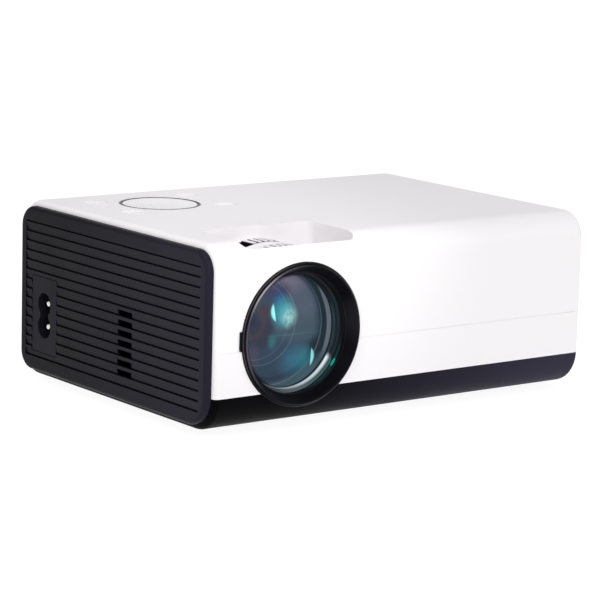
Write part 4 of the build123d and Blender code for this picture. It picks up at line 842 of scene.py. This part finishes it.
class PROJECTOR_OT_rings(bpy.types.Operator):
    """Focus and keystone rings in the recess, with what carries them"""
    bl_idname = "projector.rings"
    bl_label = "Adjusting rings"

    def execute(self, context):
        self.teeth()
        paint(moulded("inner_plastic", (0.02, 0.02, 0.023), 0.6, 0.04, 1500, 0.1),
              "pivot_posts", "lens_mount", "engine_housing", "engine_lid")
        return {"FINISHED"}

    def teeth(self):
        """Worn white plastic; painted shade blackens the teeth's roots, higher up the teeth on the far ring.
        """
        finish = Finish("ring_plastic")
        worn = finish.mix(finish.noise(90, 3), (0.76, 0.75, 0.77), (0.8, 0.79, 0.81))
        depth = finish.axis(finish.place, "Y")
        root = finish.span(depth, FOCUS_BACK, FOCUS_BACK + 0.1 * MM, *TOOTH_ROOTS)
        # A Math node keeps its result under 1, so both radii are taken as hundredths
        above = finish.less(finish.times(finish.radius(), 0.01), finish.times(root, 0.01))
        # Painted shade: near black below the teeth's roots
        finish.into(colour=finish.mix(finish.span(above, 0.0, 0.001), (0.004, 0.004, 0.0045), worn))
        finish.gloss(finish.noise(120, 3), 0.28, 0.4).bump(finish.noise(GRAIN_SCALE, 2), 0.01 * MM)
        paint(finish.material, "focus_ring", "keystone_ring")


class PROJECTOR_OT_controls(bpy.types.Operator):
    """Control disc, its trim ring, the four keys and what they press"""
    bl_idname = "projector.controls"
    bl_label = "Controls"

    def execute(self, context):
        white = tuple(look().case_colour)
        # Painted light: the disc and the keys are lit copies of the case white, a little lighter than it
        paint(moulded("disc_white", shade(white, 0.04), 0.3, 0.006), "control_disc")
        paint(moulded("key_white", shade(white, 0.06), 0.28, 0.006),
              "power_key", "source_key", "menu_key", "back_key")
        trim = Finish("trim_dark", metal=0.7)
        turning = trim.noise(700, 3, 0.6, trim.moved((DISC.x, DISC.y, 0)))
        trim.toned(turning, (0.05, 0.05, 0.065), (0.09, 0.09, 0.11)).gloss(turning, 0.2, 0.32)
        paint(trim.material, "disc_trim_ring")
        paint(moulded("rocker_natural", (0.6, 0.58, 0.55), 0.5, 0.01), "rocker_cross", "disc_plunger")
        return {"FINISHED"}


class PROJECTOR_OT_optics(bpy.types.Operator):
    """Mirror, Fresnel sheets, LCD panel, condenser, light source and heatsink"""
    bl_idname = "projector.optics"
    bl_label = "Light path"

    # The Fresnel grooves' pitch, the LCD's dots and the lines between them, and the light source's radius
    GROOVE_PITCH = 0.5 * MM
    DOT = 0.2 * MM
    DOT_LINE = 0.02 * MM
    SOURCE_R = 7 * MM

    def execute(self, context):
        self.mirror()
        self.fresnel()
        self.lcd()
        self.condenser()
        self.source()
        paint(metal("sink_aluminium", (0.6, 0.61, 0.63), 0.34, (14, 1, 1), 0.02, 700), "heatsink")
        return {"FINISHED"}

    def along(self, finish, size):
        """Distance from the light engine's axis, in parts of this size."""
        return finish.length(finish.moved((0, ENGINE.y, ENGINE.z), size=(FLAT, size, size)))

    def mirror(self):
        """A bright mirror with specks of dust."""
        finish = Finish("mirror_face", metal=1.0)
        dust = finish.span(finish.noise(900, 4, 0.7), 0.62, 0.75)
        finish.toned(dust, (0.86, 0.87, 0.88), (0.6, 0.6, 0.6))
        finish.into(rough=finish.span(dust, 0, 1, 0.03, 0.3))
        paint(finish.material, "fold_mirror")

    def fresnel(self):
        """See-through sheet with round grooves about the light engine's axis."""
        finish = Finish("fresnel_sheet", alpha=0.55, ior=1.49)
        grooves = finish.maths("FRACT", self.along(finish, self.GROOVE_PITCH))
        finish.toned(grooves, (0.55, 0.6, 0.62), (0.8, 0.84, 0.85))
        finish.into(rough=finish.span(grooves, 0, 1, 0.06, 0.18)).bump(grooves, 0.1 * MM)
        paint(finish.material, "field_fresnel", "collimator_fresnel")

    def lcd(self):
        """A grid of dark dots."""
        finish = Finish("lcd_sheet", ior=1.5)
        dots = finish.add("ShaderNodeTexBrick", [("offset", 0.0)],
                          [("Scale", 1.0), ("Mortar Size", self.DOT_LINE),
                           ("Brick Width", self.DOT), ("Row Height", self.DOT),
                           ("Color1", (0.03, 0.03, 0.035, 1)), ("Color2", (0.025, 0.03, 0.03, 1)),
                           ("Mortar", (0.005, 0.005, 0.005, 1))],
                          [("Vector", finish.moved(turn=(0, math.radians(90), 0)))])
        finish.into(colour=dots.outputs["Color"]).gloss(finish.noise(40, 2), 0.05, 0.1)
        paint(finish.material, "lcd_panel")

    def condenser(self):
        """Pale see-through glass."""
        finish = Finish("condenser_glass", alpha=0.4, ior=1.52)
        finish.toned(finish.noise(25, 2), (0.6, 0.68, 0.7), (0.75, 0.8, 0.82))
        finish.gloss(finish.noise(50, 2), 0.02, 0.06)
        paint(finish.material, "condenser_lens")

    def source(self):
        """A round of yellow phosphor on a white board."""
        finish = Finish("light_source", specular=0.4)
        tone = finish.mix(finish.noise(1200, 3), (0.82, 0.6, 0.12), (0.88, 0.68, 0.2))
        board = finish.span(self.along(finish, self.SOURCE_R), 0.95, 1.05)
        finish.into(colour=finish.mix(board, tone, (0.82, 0.82, 0.8)))
        finish.gloss(finish.noise(90, 3), 0.4, 0.55)
        paint(finish.material, "led_module")


class PROJECTOR_OT_fans(bpy.types.Operator):
    """Exhaust fan, panel fan and speaker"""
    bl_idname = "projector.fans"
    bl_label = "Fans and speaker"

    WAVE_PITCH = 1.3 * MM

    def execute(self, context):
        paint(moulded("fan_black", (0.02, 0.02, 0.022), 0.42, 0.02, 2000, 0.15),
              "exhaust_fan_frame", "exhaust_fan_rotor", "panel_fan_frame", "panel_fan_rotor")
        speaker = Finish("speaker_cone", specular=0.3)
        size = (FLAT, self.WAVE_PITCH, self.WAVE_PITCH)
        circles = speaker.length(speaker.moved((0, SPEAKER.y, SPEAKER.z), size=size))
        waves = speaker.maths("PINGPONG", circles, 0.5)
        fibres = speaker.noise(1400, 5, 0.7)
        speaker.toned(fibres, (0.014, 0.014, 0.015), (0.035, 0.034, 0.034))
        speaker.gloss(fibres, 0.6, 0.8).bump(waves, 0.2 * MM, 0.6)
        paint(speaker.material, "speaker")
        return {"FINISHED"}


class PROJECTOR_OT_boards(bpy.types.Operator):
    """Circuit boards, their parts, and the sockets at the rear"""
    bl_idname = "projector.boards"
    bl_label = "Boards and sockets"

    def execute(self, context):
        self.board()
        paint(moulded("part_black", (0.03, 0.03, 0.034), 0.45, 0.02, 1200, 0.2),
              "power_parts", "key_switches")
        paint(metal("socket_steel", (0.62, 0.62, 0.64), 0.25, (1, 10, 1)), "hdmi_socket", "usb_socket")
        paint(moulded("port_black", (0.018, 0.018, 0.021), 0.45, 0.02), "port_panel", "audio_socket")
        window = Finish("infrared_window", coat=0.6, coat_rough=0.05)
        window.toned(window.noise(120, 2), (0.02, 0.002, 0.006), (0.035, 0.004, 0.01))
        window.gloss(window.noise(60, 2), 0.08, 0.14)
        paint(window.material, "ir_window")
        return {"FINISHED"}

    def board(self):
        """Green lacquer over copper tracks, with tinned pads."""
        finish = Finish("board_green", specular=0.5, coat=0.3, coat_rough=0.2)
        tracks = finish.add("ShaderNodeTexVoronoi", [("feature", "DISTANCE_TO_EDGE")],
                            [("Scale", 260.0)], [("Vector", finish.place)])
        pads = finish.add("ShaderNodeTexVoronoi", [],
                          [("Scale", 330.0), ("Randomness", 0.35)], [("Vector", finish.place)])
        copper = finish.span(tracks.outputs["Distance"], 0.03, 0.06, 1.0, 0.0)
        tinned = finish.span(pads.outputs["Distance"], 0.16, 0.2, 1.0, 0.0)
        finish.into(colour=finish.layers(
            (0.012, 0.09, 0.045), (copper, (0.03, 0.2, 0.09)), (tinned, (0.55, 0.55, 0.5))))
        finish.into(rough=finish.span(tinned, 0, 1, 0.38, 0.28)).bump(copper, 0.03 * MM)
        paint(finish.material, "main_board", "power_board", "led_driver_board", "key_board")


class PROJECTOR_OT_underside(bpy.types.Operator):
    """Feet, tripod insert, front screw foot and case screws"""
    bl_idname = "projector.underside"
    bl_label = "Underside"

    TURNING_PITCH = 0.25 * MM

    def execute(self, context):
        paint(moulded("foot_rubber", (0.018, 0.018, 0.018), 0.8, 0.06, 1300, 0.15, specular=0.2),
              "rubber_feet", "screw_foot_pad")
        paint(moulded("foot_plastic", (0.02, 0.02, 0.023), 0.4, 0.02), "screw_foot")
        brass = Finish("insert_brass", metal=1.0)
        size = (self.TURNING_PITCH, self.TURNING_PITCH, FLAT)
        circles = brass.length(brass.moved((INSERT.x, INSERT.y, 0), size=size))
        turning = brass.maths("PINGPONG", circles, 0.5)
        brass.toned(turning, (0.5, 0.34, 0.13), (0.72, 0.52, 0.22))
        brass.gloss(brass.noise(400, 3), 0.22, 0.36).bump(turning, 0.02 * MM, 0.5)
        paint(brass.material, "tripod_insert")
        paint(metal("screw_steel", (0.1, 0.1, 0.11), 0.3, (1, 1, 3)), "case_screws")
        return {"FINISHED"}


class PROJECTOR_PT_panel(bpy.types.Panel):
    """The sidebar's list of pieces"""
    bl_label = "Projector"
    bl_idname = "PROJECTOR_PT_panel"
    bl_space_type = "VIEW_3D"
    bl_region_type = "UI"
    bl_category = "Projector"

    def draw(self, context):
        for name in ProjectorLook.__annotations__:
            self.layout.prop(context.scene.projector_look, name)
        for kind in OPERATORS:
            self.layout.operator(kind.bl_idname)


OPERATORS = (PROJECTOR_OT_stage, PROJECTOR_OT_case, PROJECTOR_OT_inlet, PROJECTOR_OT_bezel,
             PROJECTOR_OT_lens, PROJECTOR_OT_rings, PROJECTOR_OT_controls, PROJECTOR_OT_optics,
             PROJECTOR_OT_fans, PROJECTOR_OT_boards, PROJECTOR_OT_underside)
CLASSES = (ProjectorLook, *OPERATORS, PROJECTOR_PT_panel)


def register():
    """Adds the classes, and the look to every scene."""
    for kind in CLASSES:
        bpy.utils.register_class(kind)
    bpy.types.Scene.projector_look = bpy.props.PointerProperty(type=ProjectorLook)


def unregister():
    """Takes away what register adds."""
    del bpy.types.Scene.projector_look
    for kind in reversed(CLASSES):
        bpy.utils.unregister_class(kind)


def main():
    register()
    for kind in OPERATORS:
        group, action = kind.bl_idname.split(".")
        getattr(getattr(bpy.ops, group), action)()


if __name__ == "__main__":
    main()
